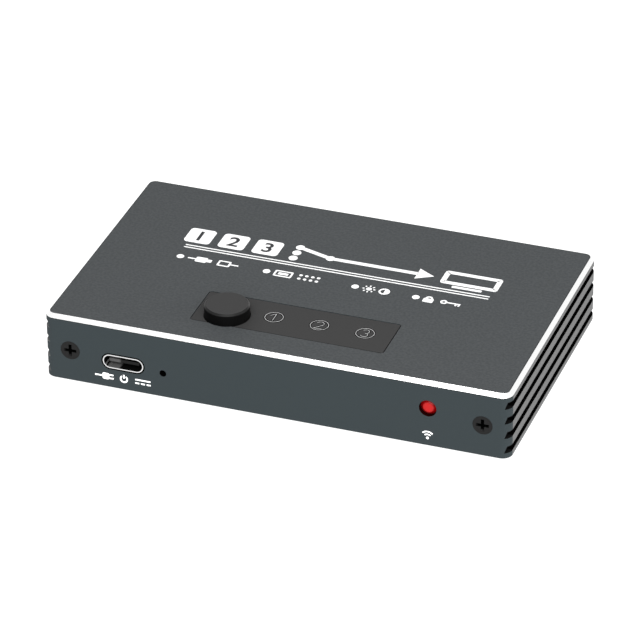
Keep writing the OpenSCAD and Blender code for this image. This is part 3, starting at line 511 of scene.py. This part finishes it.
def screw_finish(look):
    """Blackened steel with painted shade in its recess."""
    finish = Finish("black_screw")
    [y] = finish.axes("Y")
    fine = finish.noise(0.15 * MM, 3)
    recess_mouth = REAR - 0.08 * MM
    recess_floor = REAR - 0.5 * MM
    # Painted shade: the recess takes the near-black groove colour
    finish.hollow(finish.ramp(abs(y), recess_mouth, recess_floor), look.groove)
    return finish.surface(
        Base_Color=finish.speckle(look.screw, fine, 0.2),
        Roughness=fine * 0.12 + 0.4,
        Metallic=0.6,
        Specular_IOR_Level=0.35,
        Normal=finish.bump(fine, 0.003 * MM),
    )


def speckled_finish(name, tone, grain, spread, roughness, relief=0.003 * MM, **constants):
    """A moulded or plated finish with a fine grain in its colour, gloss and relief."""
    finish = Finish(name)
    fine = finish.noise(grain, 3)
    return finish.surface(
        Base_Color=finish.speckle(tone, fine, spread),
        Roughness=fine * 0.12 + (roughness - 0.06),
        Normal=finish.bump(fine, relief),
        **constants,
    )


def brushed_finish(finish, tone, roughness):
    """Rolled and plated sheet metal with fine lines along its length."""
    lines = finish.noise(0.06 * MM, 2, finish.stretched(1, 0.06, 1))
    patches = finish.noise(1.5 * MM, 2)
    return finish.surface(
        Base_Color=finish.speckle(tone, patches * 0.5 + lines * 0.5, 0.10),
        Roughness=lines * 0.14 + (roughness - 0.07),
        Metallic=1.0,
        Normal=finish.bump(lines, 0.001 * MM),
    )


def overlay_finish(look):
    """Matte film with a fine grain and shaded edges at its front and right."""
    finish = Finish("overlay_film")
    x, y = finish.axes("XY")
    outward = finish.math("MAXIMUM", x - OVERLAY_HIGH.x, OVERLAY_LOW.y - y)
    edge = outward > -look.film_edge
    fine = finish.noise(look.film_grain, 3)
    tone = finish.blend(edge, finish.speckle(look.overlay, fine, 0.08), look.overlay_edge)
    return finish.surface(
        Base_Color=tone,
        Roughness=fine * 0.14 + 0.5,
        Specular_IOR_Level=0.08,
        Normal=finish.bump(fine, 0.002 * MM),
    )


def cap_radius():
    """Radius of the button's cap, from the vertices above the housing."""
    places = [v.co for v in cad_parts["select_button"].data.vertices]
    return max((spot - BUTTON).xy.length for spot in places if spot.z > TOP + 0.1 * MM)


def button_finish(look):
    """Satin face, with painted shade on the side, a painted highlight on the bevel and painted shade on the
    bevel's front.
    """
    finish = Finish("button_plastic")
    x, y, z = finish.axes()
    forward = (y - BUTTON.y) * 0.95 - (x - BUTTON.x) * 0.3
    face = z > BUTTON_TOP - SLIP
    bevel = z > BUTTON_TOP - look.bevel_height + SLIP
    # Painted shade: the bevel darkens towards the front
    front_shade = finish.ramp(forward * (1 / cap_radius()), 0.2, -0.45)
    fine = finish.noise(0.2 * MM, 3)
    tone = finish.blend(front_shade, look.button_bevel, look.button_front)
    tone = finish.blend(bevel, look.button_side, tone)
    tone = finish.blend(face, tone, finish.speckle(look.button_face, fine, 0.06))
    return finish.surface(
        Base_Color=tone,
        Roughness=face * 0.12 + fine * 0.08 + 0.38,
        Specular_IOR_Level=0.1,
        Normal=finish.bump(fine, 0.002 * MM),
    )


def window_finish(look):
    """Tinted polished plastic, with painted shade on the sloping rim."""
    finish = Finish("red_window")
    x, z = finish.axes("XZ")
    # Painted shade: the window darkens from its flat face to its rim
    rim = finish.ramp(from_axis(finish, x, z, WINDOW), look.window_flat, look.window_rim)
    depth = finish.noise(0.8 * MM, 1)
    tone = finish.blend(rim, finish.speckle(look.window, depth, 0.08), look.window_bevel)
    return finish.surface(
        Base_Color=tone, Roughness=depth * 0.06 + 0.3, Specular_IOR_Level=0.2
    )


def board_finish(look):
    """Green solder mask over faint tracks and a ground fill."""
    finish = Finish("board_laminate")
    tracks = finish.node(
        "ShaderNodeTexBrick",
        {"offset": 0.37, "squash": 0.6, "squash_frequency": 3},
        {
            "Vector": finish.place,
            "Scale": 1 / (6 * MM),
            "Mortar Size": 0.035,
            "Brick Width": 0.9,
            "Row Height": 0.16,
        },
        output="Fac",
    )
    fine = finish.noise(0.3 * MM, 2)
    tone = finish.blend(tracks, finish.speckle(look.mask, fine, 0.10), look.track)
    return finish.surface(
        Base_Color=tone, Roughness=fine * 0.08 + 0.34, Normal=finish.bump(tracks, 0.02 * MM), Coat_Weight=0.3
    )


def inner_tone(finish, x, look, dark, lit):
    """Tone inside the power socket: light reaches a band on the left and the edge beside it."""
    along = x - POWER.x
    start = finish.ramp(along, look.band_left, look.band_left + look.fade_left)
    end = finish.ramp(along, look.band_right, look.band_right - look.fade_right)
    edge = abs(along - look.edge_place) < look.edge_reach
    return finish.blend(finish.math("MAXIMUM", start * end, edge), dark, lit)


def shell_finish(look, housing):
    """The power socket's plated shell, bright at its rim, with painted shade and a painted lit band inside.
    """
    finish = Finish("power_steel")
    x, z = finish.axes("XZ")
    inside = from_socket(finish, x, z, housing.socket_height) < -housing.socket_rim
    finish.hollow(inside, inner_tone(finish, x, look, look.shell_dark, look.shell_lit))
    return brushed_finish(finish, look.steel, look.gloss)


def well_finish(look):
    """The power socket's dark insert, with a painted lit band."""
    finish = Finish("power_plastic")
    [x] = finish.axes("X")
    fine = finish.noise(0.2 * MM, 3)
    lit = finish.speckle(look.insert_lit, fine, 0.1)
    return finish.surface(
        Base_Color=inner_tone(finish, x, look, look.insert_dark, lit),
        Roughness=fine * 0.12 + 0.44,
        Specular_IOR_Level=0.15,
        Normal=finish.bump(fine, 0.002 * MM),
    )


def assign(material, *names):
    """Gives CAD nodes a finish."""
    for name in names:
        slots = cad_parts[name].material_slots
        if not slots:
            raise RuntimeError(f"{name} has no material slot")
        for slot in slots:
            slot.material = material


def add_object(name, data):
    """Adds an object with the given data to the scene."""
    made = bpy.data.objects.new(name, data)
    bpy.context.scene.collection.objects.link(made)
    return made


def add_mesh(name, mesh, material):
    """Adds an object made of a bmesh, which is then freed."""
    data = bpy.data.meshes.new(name)
    mesh.to_mesh(data)
    mesh.free()
    data.materials.append(material)
    return add_object(name, data)


# Printed marks


class Print:
    """Flat marks drawn in a plane, to the right and upwards, then raised by the ink's thickness."""

    def __init__(self, name, origin, right, up):
        self.name = name
        axes = Matrix((right, up, right.cross(up))).transposed().to_4x4()
        self.place = Matrix.Translation(origin) @ axes
        self.mesh = bmesh.new()

    def stroke(self, points, width):
        """A line of one width from point to point, mitred at its corners."""
        spots = [Vector(point) for point in points]
        ways = [(b - a).normalized() for a, b in zip(spots, spots[1:])]
        edge = None
        for spot, before, after in zip(spots, [ways[0], *ways], [*ways, ways[-1]]):
            across = (before + after).orthogonal().normalized()
            side = across * (width / 2 / across.dot(after.orthogonal()))
            ends = [(spot + side).to_3d(), (spot - side).to_3d()]
            if edge is None:
                edge = self.mesh.edges.new([self.mesh.verts.new(end) for end in ends])
                continue
            made = bmesh.ops.extrude_edge_only(self.mesh, edges=[edge])["geom"]
            first = edge.verts[0].co.copy()
            edge = next(item for item in made if isinstance(item, bmesh.types.BMEdge))
            swap = (edge.verts[0].co - first).length > (edge.verts[1].co - first).length
            for vert, end in zip(edge.verts, reversed(ends) if swap else ends):
                vert.co = end

    def disc(self, u, v, diameter):
        bmesh.ops.create_circle(
            self.mesh, cap_ends=True, segments=48, radius=diameter / 2, matrix=Matrix.Translation((u, v, 0))
        )

    def wedge(self, u, v, radius, degrees):
        """A solid triangle that points in the given direction."""
        matrix = Matrix.Translation((u, v, 0)) @ Matrix.Rotation(math.radians(degrees - 90), 4, "Z")
        bmesh.ops.create_circle(self.mesh, cap_ends=True, segments=3, radius=radius, matrix=matrix)

    def arc(self, u, v, radius, width, start, sweep):
        """A line along a circle, from start through sweep, in degrees."""
        centre = Vector((u, v, 0))
        way = Matrix.Rotation(math.radians(start), 3, "Z") @ RIGHT
        ends = [self.mesh.verts.new(centre + way * (radius + half)) for half in (-width / 2, width / 2)]
        edge = self.mesh.edges.new(ends)
        bmesh.ops.spin(
            self.mesh,
            geom=[*ends, edge],
            cent=centre,
            axis=UP,
            angle=math.radians(sweep),
            steps=max(6, round(abs(sweep) / 6)),
            use_merge=abs(sweep) >= 360,
        )

    def ring(self, u, v, diameter, width):
        self.arc(u, v, (diameter - width) / 2, width, 0, 360)

    def plate(self, u, v, wide, high, corner):
        """A filled rectangle with rounded corners; gives back its faces."""
        known = set(self.mesh.faces)
        matrix = Matrix.Translation((u, v, 0)) @ Matrix.Diagonal((wide, high, 1, 1))
        verts = bmesh.ops.create_grid(self.mesh, x_segments=1, y_segments=1, size=0.5, matrix=matrix)["verts"]
        bmesh.ops.bevel(
            self.mesh, geom=verts, offset=corner, affect="VERTICES", segments=6, profile=0.5, material=-1
        )
        return [face for face in self.mesh.faces if face not in known]

    def outline(self, u, v, wide, high, corner, width):
        """A rectangle with rounded corners, drawn as a line."""
        faces = self.plate(u, v, wide, high, corner)
        bmesh.ops.inset_region(
            self.mesh, faces=faces, thickness=width, use_even_offset=True, use_boundary=True
        )
        bmesh.ops.delete(self.mesh, geom=faces, context="FACES")

    def figure(self, body, u, v, height):
        """A number whose middle is at the given place."""
        curve = bpy.data.curves.new("figure", "FONT")
        curve.body = body
        curve.size = 1
        curve.offset = FIGURE_SWELL
        holder = bpy.data.objects.new("figure", curve)
        flat = bpy.data.meshes.new_from_object(holder)
        low = Vector([min(vert.co[axis] for vert in flat.vertices) for axis in range(3)])
        high = Vector([max(vert.co[axis] for vert in flat.vertices) for axis in range(3)])
        grow = height / (high.y - low.y)
        flat.transform(Matrix.Translation(-(low + high) / 2))
        flat.transform(Matrix.Translation((u, v, 0)) @ Matrix.Diagonal((grow, grow, 0, 1)))
        standing = set(self.mesh.verts)
        self.mesh.from_mesh(flat)
        fresh = [vert for vert in self.mesh.verts if vert not in standing]
        bmesh.ops.remove_doubles(self.mesh, verts=fresh, dist=0.001 * MM)
        bpy.data.objects.remove(holder)
        bpy.data.curves.remove(curve)
        bpy.data.meshes.remove(flat)

    def piece(self, thickness, material):
        """Raises the marks off the surface and makes the piece that they form."""
        if not self.mesh.faces:
            raise RuntimeError(f"{self.name} has no marks")
        raised = bmesh.ops.extrude_face_region(self.mesh, geom=self.mesh.faces[:], use_keep_orig=True)["geom"]
        moved = [item for item in raised if isinstance(item, bmesh.types.BMVert)]
        bmesh.ops.translate(self.mesh, verts=moved, vec=UP * thickness)
        bmesh.ops.transform(self.mesh, matrix=self.place, verts=self.mesh.verts)
        bmesh.ops.recalc_face_normals(self.mesh, faces=self.mesh.faces)
        made = add_mesh(self.name, self.mesh, material)
        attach(made, "housing")


def ink_finish(name, tone):
    """Screen-printed ink with a faint unevenness."""
    return bpy.data.materials.get(name) or speckled_finish(
        name, tone, 0.25 * MM, 0.05, 0.5, Specular_IOR_Level=0.1
    )


def top_print(name, height=0.0):
    return Print(name, Vector((0, 0, TOP + height)), RIGHT, BACKWARDS)


def draw_selector(sign, left, middle, pitch, width):
    """The sign of a three-way selector: three ends and a lever; gives back where its line goes on."""
    end = 1.75 * width
    inset = 0.45 * end
    pivot = Vector((left + 7.5 * MM, middle))
    chosen = Vector((left, middle + pitch))
    for row in (-1, 0, 1):
        sign.disc(left, middle + row * pitch, end)
    sign.disc(*pivot, end)
    way = (chosen - pivot).normalized()
    sign.stroke([pivot + way * inset, chosen - way * inset], width)
    return pivot.x + inset


def draw_arrow(sign, left, right, middle, width):
    """A straight arrow to the right."""
    head = 2.2 * width
    sign.stroke([(left, middle), (right - 1.45 * head, middle)], width)
    sign.wedge(right - head, middle, head, 0)


def draw_screen(sign, left, middle, wide, width):
    """A screen on its foot."""
    centre = left + wide / 2
    sign.outline(centre, middle + 0.65 * MM, wide, 5.2 * MM, 0.7 * MM, width)
    sign.plate(centre, middle - 2.75 * MM, 6.5 * MM, 0.8 * MM, 0.2 * MM)


def draw_plug_and_socket(sign, left, middle, width):
    """A lead with a plug, facing a socket with its own lead."""
    plug = left + 3.0 * MM
    socket = left + 8.1 * MM
    sign.stroke([(left, middle), (plug - 1.2 * MM, middle)], width)
    sign.plate(plug, middle, 2.5 * MM, 2.0 * MM, 0.35 * MM)
    sign.plate(plug + 1.75 * MM, middle, 1.1 * MM, 1.1 * MM, 0.1 * MM)
    sign.outline(socket, middle, 2.8 * MM, 2.2 * MM, 0.3 * MM, width)
    sign.stroke([(socket + 1.35 * MM, middle), (socket + 3.2 * MM, middle)], width)


def draw_sharp_picture(sign, left, middle, width):
    """A picture in its frame, then a field of picture dots."""
    sign.outline(left + 2.0 * MM, middle, 4.0 * MM, 2.4 * MM, 0.3 * MM, width)
    sign.plate(left + 2.0 * MM, middle, 2.2 * MM, 0.85 * MM, 0.1 * MM)
    for column in range(4):
        for row in (-0.5, 0.5):
            sign.disc(left + (5.7 + 1.3 * column) * MM, middle + row * 1.4 * MM, 0.75 * MM)


def draw_brightness(sign, left, middle, width):
    """A sun, then a half-filled disc."""
    centre = Vector((left + 1.35 * MM, middle))
    sign.disc(*centre, 1.2 * MM)
    for step in range(8):
        way = Matrix.Rotation(math.radians(45 * step), 2) @ Vector((1, 0))
        sign.stroke([centre + way * 0.95 * MM, centre + way * 1.4 * MM], 0.8 * width)
    disc = left + 4.7 * MM
    sign.ring(disc, middle, 2.4 * MM, width)
    sign.arc(disc, middle, 0.41 * MM, 0.82 * MM, -90, 180)


def draw_lock_and_key(sign, left, middle, width):
    """A padlock, then its key."""
    lock = left + 1.1 * MM
    sign.plate(lock, middle - 0.45 * MM, 2.2 * MM, 1.5 * MM, 0.25 * MM)
    sign.arc(lock, middle + 0.35 * MM, 0.62 * MM, width, 0, 180)
    bow = left + 4.4 * MM
    sign.ring(bow, middle, 1.5 * MM, width)
    sign.stroke([(bow + 0.75 * MM, middle), (bow + 3.6 * MM, middle)], width)
    for tooth in (2.7, 3.35):
        foot = bow + tooth * MM
        sign.stroke([(foot, middle - width / 2), (foot, middle - 0.8 * MM)], width)


def draw_standby(sign, u, v, size, width):
    """An open ring with an upright stroke."""
    sign.arc(u, v, (size - width) / 2, width, 125, 290)
    sign.stroke([(u, v + size * 0.08), (u, v + size * 0.56)], width)


def draw_mains_plug(sign, u, v, width):
    """A lead with a two-pin plug."""
    sign.stroke([(u - 2.1 * MM, v), (u - 0.4 * MM, v)], width)
    sign.plate(u + 0.3 * MM, v, 1.5 * MM, 1.5 * MM, 0.35 * MM)
    for side in (-1, 1):
        pin = v + side * 0.4 * MM
        sign.stroke([(u + 1.05 * MM, pin), (u + 2.0 * MM, pin)], width)


def draw_direct_current(sign, u, v, wide, width):
    """A whole line over a broken one."""
    apart = 0.42 * MM
    dash = wide * 0.13
    sign.stroke([(u - wide / 2, v + apart), (u + wide / 2, v + apart)], width)
    for step in (-1, 0, 1):
        centre = u + step * wide * 0.37
        sign.stroke([(centre - dash, v - apart), (centre + dash, v - apart)], width)


def draw_signal(sign, u, v, width):
    """A dot with two arcs over it."""
    sign.disc(u, v, 0.6 * MM)
    for radius in (0.85, 1.5):
        sign.arc(u, v, radius * MM, width, 45, 90)


def draw_numeral(sign, order, u, v, height, width):
    """A thin 1, 2 or 3 drawn as lines."""

    def line(*points):
        sign.stroke([(u + height * a, v + height * b) for a, b in points], width)

    def bow(b, radius, start, sweep):
        sign.arc(u, v + height * b, height * radius, width, start, sweep)

    if order == 1:
        line((-0.36, 0.16), (0.04, 0.5), (0.04, -0.5))
    elif order == 2:
        bow(0.21, 0.29, 165, -205)
        line((0.222, 0.024), (-0.3, -0.5), (0.36, -0.5))
    else:
        bow(0.245, 0.255, 150, -235)
        bow(-0.235, 0.265, 85, -235)


def flatten_dome():
    """Gives the snap dome a mesh of its own."""
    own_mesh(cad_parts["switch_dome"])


# Operators


class SWITCHBOX_OT_housing(Operator):
    """Finishes the sleeve, the end plates, the screws and the feet"""

    bl_idname = "switchbox.housing"
    bl_label = "Finish Housing"

    def execute(self, context):
        look = context.scene.switchbox_housing
        assign(anodised_finish("anodised_sleeve", look), "body_sleeve")
        assign(anodised_finish("anodised_plate", look), "front_panel", "rear_panel")
        assign(screw_finish(look), "front_screws", "rear_screws")
        assign(speckled_finish("foot_rubber", look.rubber, 0.2 * MM, 0.2, 0.8), "rubber_feet")
        return {"FINISHED"}


class SWITCHBOX_OT_controls(Operator):
    """Finishes the overlay, the button, the receiver window, the lamps and what lies behind them"""

    bl_idname = "switchbox.controls"
    bl_label = "Finish Controls"

    def execute(self, context):
        look = context.scene.switchbox_control
        assign(overlay_finish(look), "indicator_overlay")
        assign(button_finish(look), "select_button")
        assign(window_finish(look), "receiver_window")
        pipe = speckled_finish("clear_pipe", look.pipe, 2 * MM, 0.03, 0.12, Transmission_Weight=0.9)
        assign(pipe, "light_pipes")
        assign(speckled_finish("lamp_body", look.lamp, 0.3 * MM, 0.06, 0.3), "indicator_lamps")
        assign(speckled_finish("dark_lamp", look.pilot, 0.3 * MM, 0.15, 0.3), "pilot_lamp")
        moulded = speckled_finish("switch_plastic", look.switch_plastic, 0.2 * MM, 0.2, 0.5)
        assign(moulded, "switch_plunger", "switch_base")
        steel = brushed_finish(Finish("switch_steel"), look.switch_steel, 0.3)
        assign(steel, "switch_cover", "switch_dome")
        flatten_dome()
        assign(speckled_finish("module_plastic", look.module, 0.4 * MM, 0.15, 0.18), "receiver_module")
        assign(brushed_finish(Finish("tin"), look.tin, 0.34), "switch_terminals", "receiver_leads")
        return {"FINISHED"}


class SWITCHBOX_OT_sockets(Operator):
    """Finishes the power socket and the video sockets"""

    bl_idname = "switchbox.sockets"
    bl_label = "Finish Sockets"

    def execute(self, context):
        look = context.scene.switchbox_socket
        steel = brushed_finish(Finish("steel"), look.steel, look.gloss)
        plastic = speckled_finish("black_plastic", look.plastic, 0.2 * MM, 0.2, 0.5, Specular_IOR_Level=0.15)
        gold = speckled_finish("contact_gold", look.gold, 0.3 * MM, 0.08, 0.35, Metallic=1.0)
        shaded = speckled_finish("shaded_gold", look.shaded_gold, 0.3 * MM, 0.08, 0.5, Metallic=1.0)
        assign(shell_finish(look, context.scene.switchbox_housing), "power_shell")
        assign(well_finish(look), "power_insert")
        assign(shaded, "power_contacts")
        for name in SOCKETS:
            assign(steel, f"{name}_shell")
            assign(plastic, f"{name}_insert")
            assign(gold, f"{name}_contacts")
        return {"FINISHED"}


class SWITCHBOX_OT_board(Operator):
    """Finishes the circuit board and its parts"""

    bl_idname = "switchbox.board"
    bl_label = "Finish Board"

    def execute(self, context):
        look = context.scene.switchbox_board
        assign(board_finish(look), "main_board")
        assign(speckled_finish("pad_silicone", look.pad, 0.3 * MM, 0.1, 0.75), "thermal_pad")
        chip = speckled_finish("chip_plastic", look.chip, 0.15 * MM, 0.25, 0.55)
        assign(chip, "switching_chip", "control_chip", "regulator")
        assign(brushed_finish(Finish("lead_tin"), look.tin, 0.34), "control_leads", "regulator_leads")
        assign(brushed_finish(Finish("crystal_steel"), look.crystal, 0.28), "crystal")
        assign(speckled_finish("ferrite", look.ferrite, 0.25 * MM, 0.25, 0.7), "inductor")
        can = speckled_finish("can_aluminium", look.can, 0.3 * MM, 0.06, 0.3, Metallic=1.0)
        assign(can, "round_capacitors")
        assign(speckled_finish("ceramic", look.ceramic, 0.2 * MM, 0.12, 0.5), "ceramic_capacitors")
        return {"FINISHED"}


class SWITCHBOX_OT_title_print(Operator):
    """Prints the large pictogram: numbered tiles, a selector, an arrow and a screen"""

    bl_idname = "switchbox.title_print"
    bl_label = "Print Pictogram"

    def execute(self, context):
        look = context.scene.switchbox_print
        white = ink_finish("white_ink", look.white)
        sign = top_print("title_pictogram")
        numbers = top_print("title_numbers", look.ink)
        middle = look.title_y
        tiles = [look.title_left + look.tile / 2 + step * look.tile_pitch for step in range(len(INPUTS))]
        for order, centre in enumerate(tiles, start=1):
            sign.plate(centre, middle, look.tile, look.tile, look.tile_corner)
            numbers.figure(str(order), centre, middle, look.tile * look.tile_figure)
        gap = look.tile_pitch - look.tile
        ends = tiles[-1] + look.tile / 2 + 2 * gap
        start = draw_selector(sign, ends, middle, look.selector, look.bold)
        screen_left = look.title_right - look.screen
        draw_arrow(sign, start, screen_left - gap, middle, look.bold)
        draw_screen(sign, screen_left, middle, look.screen, look.bold)
        sign.piece(look.ink, white)
        numbers.piece(look.ink, ink_finish("dark_ink", look.dark))
        return {"FINISHED"}


class SWITCHBOX_OT_feature_print(Operator):
    """Prints the double rule and the row of dots with an icon after each"""

    bl_idname = "switchbox.feature_print"
    bl_label = "Print Features"

    def execute(self, context):
        look = context.scene.switchbox_print
        sign = top_print("feature_marks")
        for side in (-1, 1):
            v = look.rule_y + side * look.rule_gap / 2
            sign.stroke([(look.rule_left, v), (look.rule_right, v)], look.rule_width)
        icons = {
            -32.0: draw_plug_and_socket,
            -12.7: draw_sharp_picture,
            6.9: draw_brightness,
            20.2: draw_lock_and_key,
        }
        for u, draw in icons.items():
            sign.disc(u * MM, look.dots_y, look.dot)
            draw(sign, (u + 1.7) * MM, look.dots_y, look.fine)
        sign.piece(look.ink, ink_finish("white_ink", look.white))
        return {"FINISHED"}


class SWITCHBOX_OT_overlay_print(Operator):
    """Prints a ringed number over each lamp"""

    bl_idname = "switchbox.overlay_print"
    bl_label = "Print Overlay"

    def execute(self, context):
        look = context.scene.switchbox_print
        v = (OVERLAY_LOW.y + OVERLAY_HIGH.y) / 2 + look.figure_back
        pipe = LAMPS_HIGH.y - LAMPS_LOW.y
        first = LAMPS_LOW.x + pipe / 2 + look.figure_right
        last = LAMPS_HIGH.x - pipe / 2 + look.figure_right
        film = Vector((0, 0, OVERLAY_HIGH.z))
        sign = Print("overlay_numbers", film, RIGHT, BACKWARDS)
        shadow = Print("overlay_number_shadows", film, RIGHT, BACKWARDS)
        for step in range(len(INPUTS)):
            u = first + (last - first) * step / (len(INPUTS) - 1)
            # Painted shadow: each line gets a wider dark copy beneath it
            for layer, wider in ((sign, 0), (shadow, 2 * look.border)):
                layer.ring(u, v, look.ring + wider, look.hair + wider)
                draw_numeral(layer, step + 1, u, v, look.figure, look.hair + wider)
        sign.piece(look.ink, ink_finish("grey_ink", look.grey))
        shadow.piece(look.ink / 2, ink_finish("shadow_ink", look.shadow))
        return {"FINISHED"}


class SWITCHBOX_OT_front_print(Operator):
    """Prints the power marks under the power socket and the signal mark under the window"""

    bl_idname = "switchbox.front_print"
    bl_label = "Print Front"

    def execute(self, context):
        look = context.scene.switchbox_print
        sign = Print("front_marks", Vector((0, FRONT, 0)), RIGHT, UP)
        draw_mains_plug(sign, POWER.x - 4.2 * MM, look.panel_v, look.panel_line)
        draw_standby(sign, POWER.x + 0.1 * MM, look.panel_v, 1.8 * MM, look.panel_line)
        draw_direct_current(sign, POWER.x + 4.3 * MM, look.panel_v, 3.4 * MM, look.panel_line)
        draw_signal(sign, WINDOW.x, look.signal_v, look.signal_line)
        sign.piece(look.ink, ink_finish("white_ink", look.white))
        return {"FINISHED"}


class SWITCHBOX_OT_rear_print(Operator):
    """Prints the number of each input and an arrow for the output"""

    bl_idname = "switchbox.rear_print"
    bl_label = "Print Rear"

    def execute(self, context):
        look = context.scene.switchbox_print
        sign = Print("rear_marks", Vector((0, REAR, 0)), -RIGHT, UP)
        for order, name in enumerate(INPUTS, start=1):
            sign.figure(str(order), -middle_of(f"{name}_shell").x, look.panel_v, look.panel_figure)
        u = -middle_of("output_shell").x
        reach = 1.6 * MM
        draw_arrow(sign, u - reach, u + reach, look.panel_v, look.fine)
        sign.piece(look.ink, ink_finish("white_ink", look.white))
        return {"FINISHED"}


def camera_axes(look):
    """The camera's right, up and backward directions."""
    azimuth, elevation = look.azimuth, look.elevation
    level = math.cos(elevation)
    back = Vector((math.sin(azimuth) * level, -math.cos(azimuth) * level, math.sin(elevation)))
    right = Vector((math.cos(azimuth), math.sin(azimuth), 0))
    tilt = Matrix.Rotation(look.roll, 3, back)
    return tilt @ right, tilt @ back.cross(right), back


def add_camera(look):
    right, up, back = camera_axes(look)
    data = bpy.data.cameras.new("photo_camera")
    data.sensor_width = look.sensor / MM
    data.lens = look.lens / MM
    data.clip_start = 0.01
    data.clip_end = 20
    camera = add_object("photo_camera", data)
    target = right * look.aim_right + up * look.aim_up + Vector((0, 0, UNDERSIDE))
    axes = Matrix((right, up, back)).transposed().to_4x4()
    camera.matrix_world = Matrix.Translation(target + back * look.distance) @ axes
    bpy.context.scene.camera = camera


def add_surround(look):
    """Soft light all round, dimmer high up at the back, so that raised pieces throw little shade forwards."""
    world = bpy.data.worlds.new("soft_surround")
    world.use_nodes = True
    sky = Nodes(world.node_tree, "Generated")
    x, y, z = sky.axes()
    behind = sky.ramp(y, -0.2, 0.3) * sky.ramp(z, 0.3, 0.6) * sky.ramp(abs(x), 0.6, 0.35)
    light = {
        "Color": sky.blend(behind, look.surround, look.surround_back),
        "Strength": look.surround_strength,
    }
    sky.plug(world.node_tree.nodes["Background"], light)
    bpy.context.scene.world = world


def add_softbox(name, place, wide, high, watts):
    """A white area light that faces the box."""
    data = bpy.data.lights.new(name, "AREA")
    data.shape = "RECTANGLE"
    data.size = wide
    data.size_y = high
    data.energy = watts
    light = add_object(name, data)
    light.location = place
    light.rotation_euler = place.to_track_quat("Z", "Y").to_euler()


def add_floor(look):
    """A pale, faintly glowing table."""
    finish = Finish("pale_floor")
    patches = finish.noise(0.4, 2)
    material = finish.surface(
        Base_Color=finish.speckle(look.floor, patches, 0.01),
        Roughness=0.9,
        Specular_IOR_Level=0.0,
        Emission_Color=(*look.floor_glow, 1),
        Emission_Strength=look.glow_strength,
    )
    mesh = bmesh.new()
    bmesh.ops.create_grid(mesh, x_segments=1, y_segments=1, size=look.floor_reach)
    floor = add_mesh("pale_floor", mesh, material)


class SWITCHBOX_OT_stage(Operator):
    """Sets up the pale floor, the soft studio light and the camera"""

    bl_idname = "switchbox.stage"
    bl_label = "Set Up Stage"

    def execute(self, context):
        look = context.scene.switchbox_stage
        context.scene.view_settings.view_transform = "Standard"
        add_surround(look)
        add_floor(look)
        add_softbox("key_light", look.key_place, look.key_side, look.key_side, look.key)
        add_softbox("side_light", look.side_place, look.side_wide, look.side_high, look.side)
        add_camera(look)
        return {"FINISHED"}


class SWITCHBOX_PT_looks(Panel):
    """Lists the steps that dress the switch box and what they use"""

    bl_idname = "SWITCHBOX_PT_looks"
    bl_label = "Switch Box"
    bl_space_type = "VIEW_3D"
    bl_region_type = "UI"
    bl_category = "Switch Box"

    def draw(self, context):
        for operator in OPERATORS:
            self.layout.operator(operator.bl_idname)
        for name, group in LOOKS.items():
            box = self.layout.box()
            box.label(text=group.__doc__)
            for setting in group.__annotations__:
                box.prop(getattr(context.scene, name), setting)


LOOKS = {
    "switchbox_housing": HousingLook,
    "switchbox_control": ControlLook,
    "switchbox_socket": SocketLook,
    "switchbox_board": BoardLook,
    "switchbox_print": PrintLook,
    "switchbox_stage": StageLook,
}
OPERATORS = [
    SWITCHBOX_OT_stage,
    SWITCHBOX_OT_housing,
    SWITCHBOX_OT_controls,
    SWITCHBOX_OT_sockets,
    SWITCHBOX_OT_board,
    SWITCHBOX_OT_title_print,
    SWITCHBOX_OT_feature_print,
    SWITCHBOX_OT_overlay_print,
    SWITCHBOX_OT_front_print,
    SWITCHBOX_OT_rear_print,
]


def register():
    for cls in [*LOOKS.values(), *OPERATORS, SWITCHBOX_PT_looks]:
        bpy.utils.register_class(cls)
    for name, group in LOOKS.items():
        setattr(bpy.types.Scene, name, PointerProperty(type=group))


def unregister():
    for name in LOOKS:
        delattr(bpy.types.Scene, name)
    for cls in [SWITCHBOX_PT_looks, *reversed(OPERATORS), *LOOKS.values()]:
        bpy.utils.unregister_class(cls)


def main():
    """Dresses the packed box."""
    register()
    for operator in OPERATORS:
        step = operator.bl_idname.removeprefix("switchbox.")
        getattr(bpy.ops.switchbox, step)()


if __name__ == "__main__":
    main()
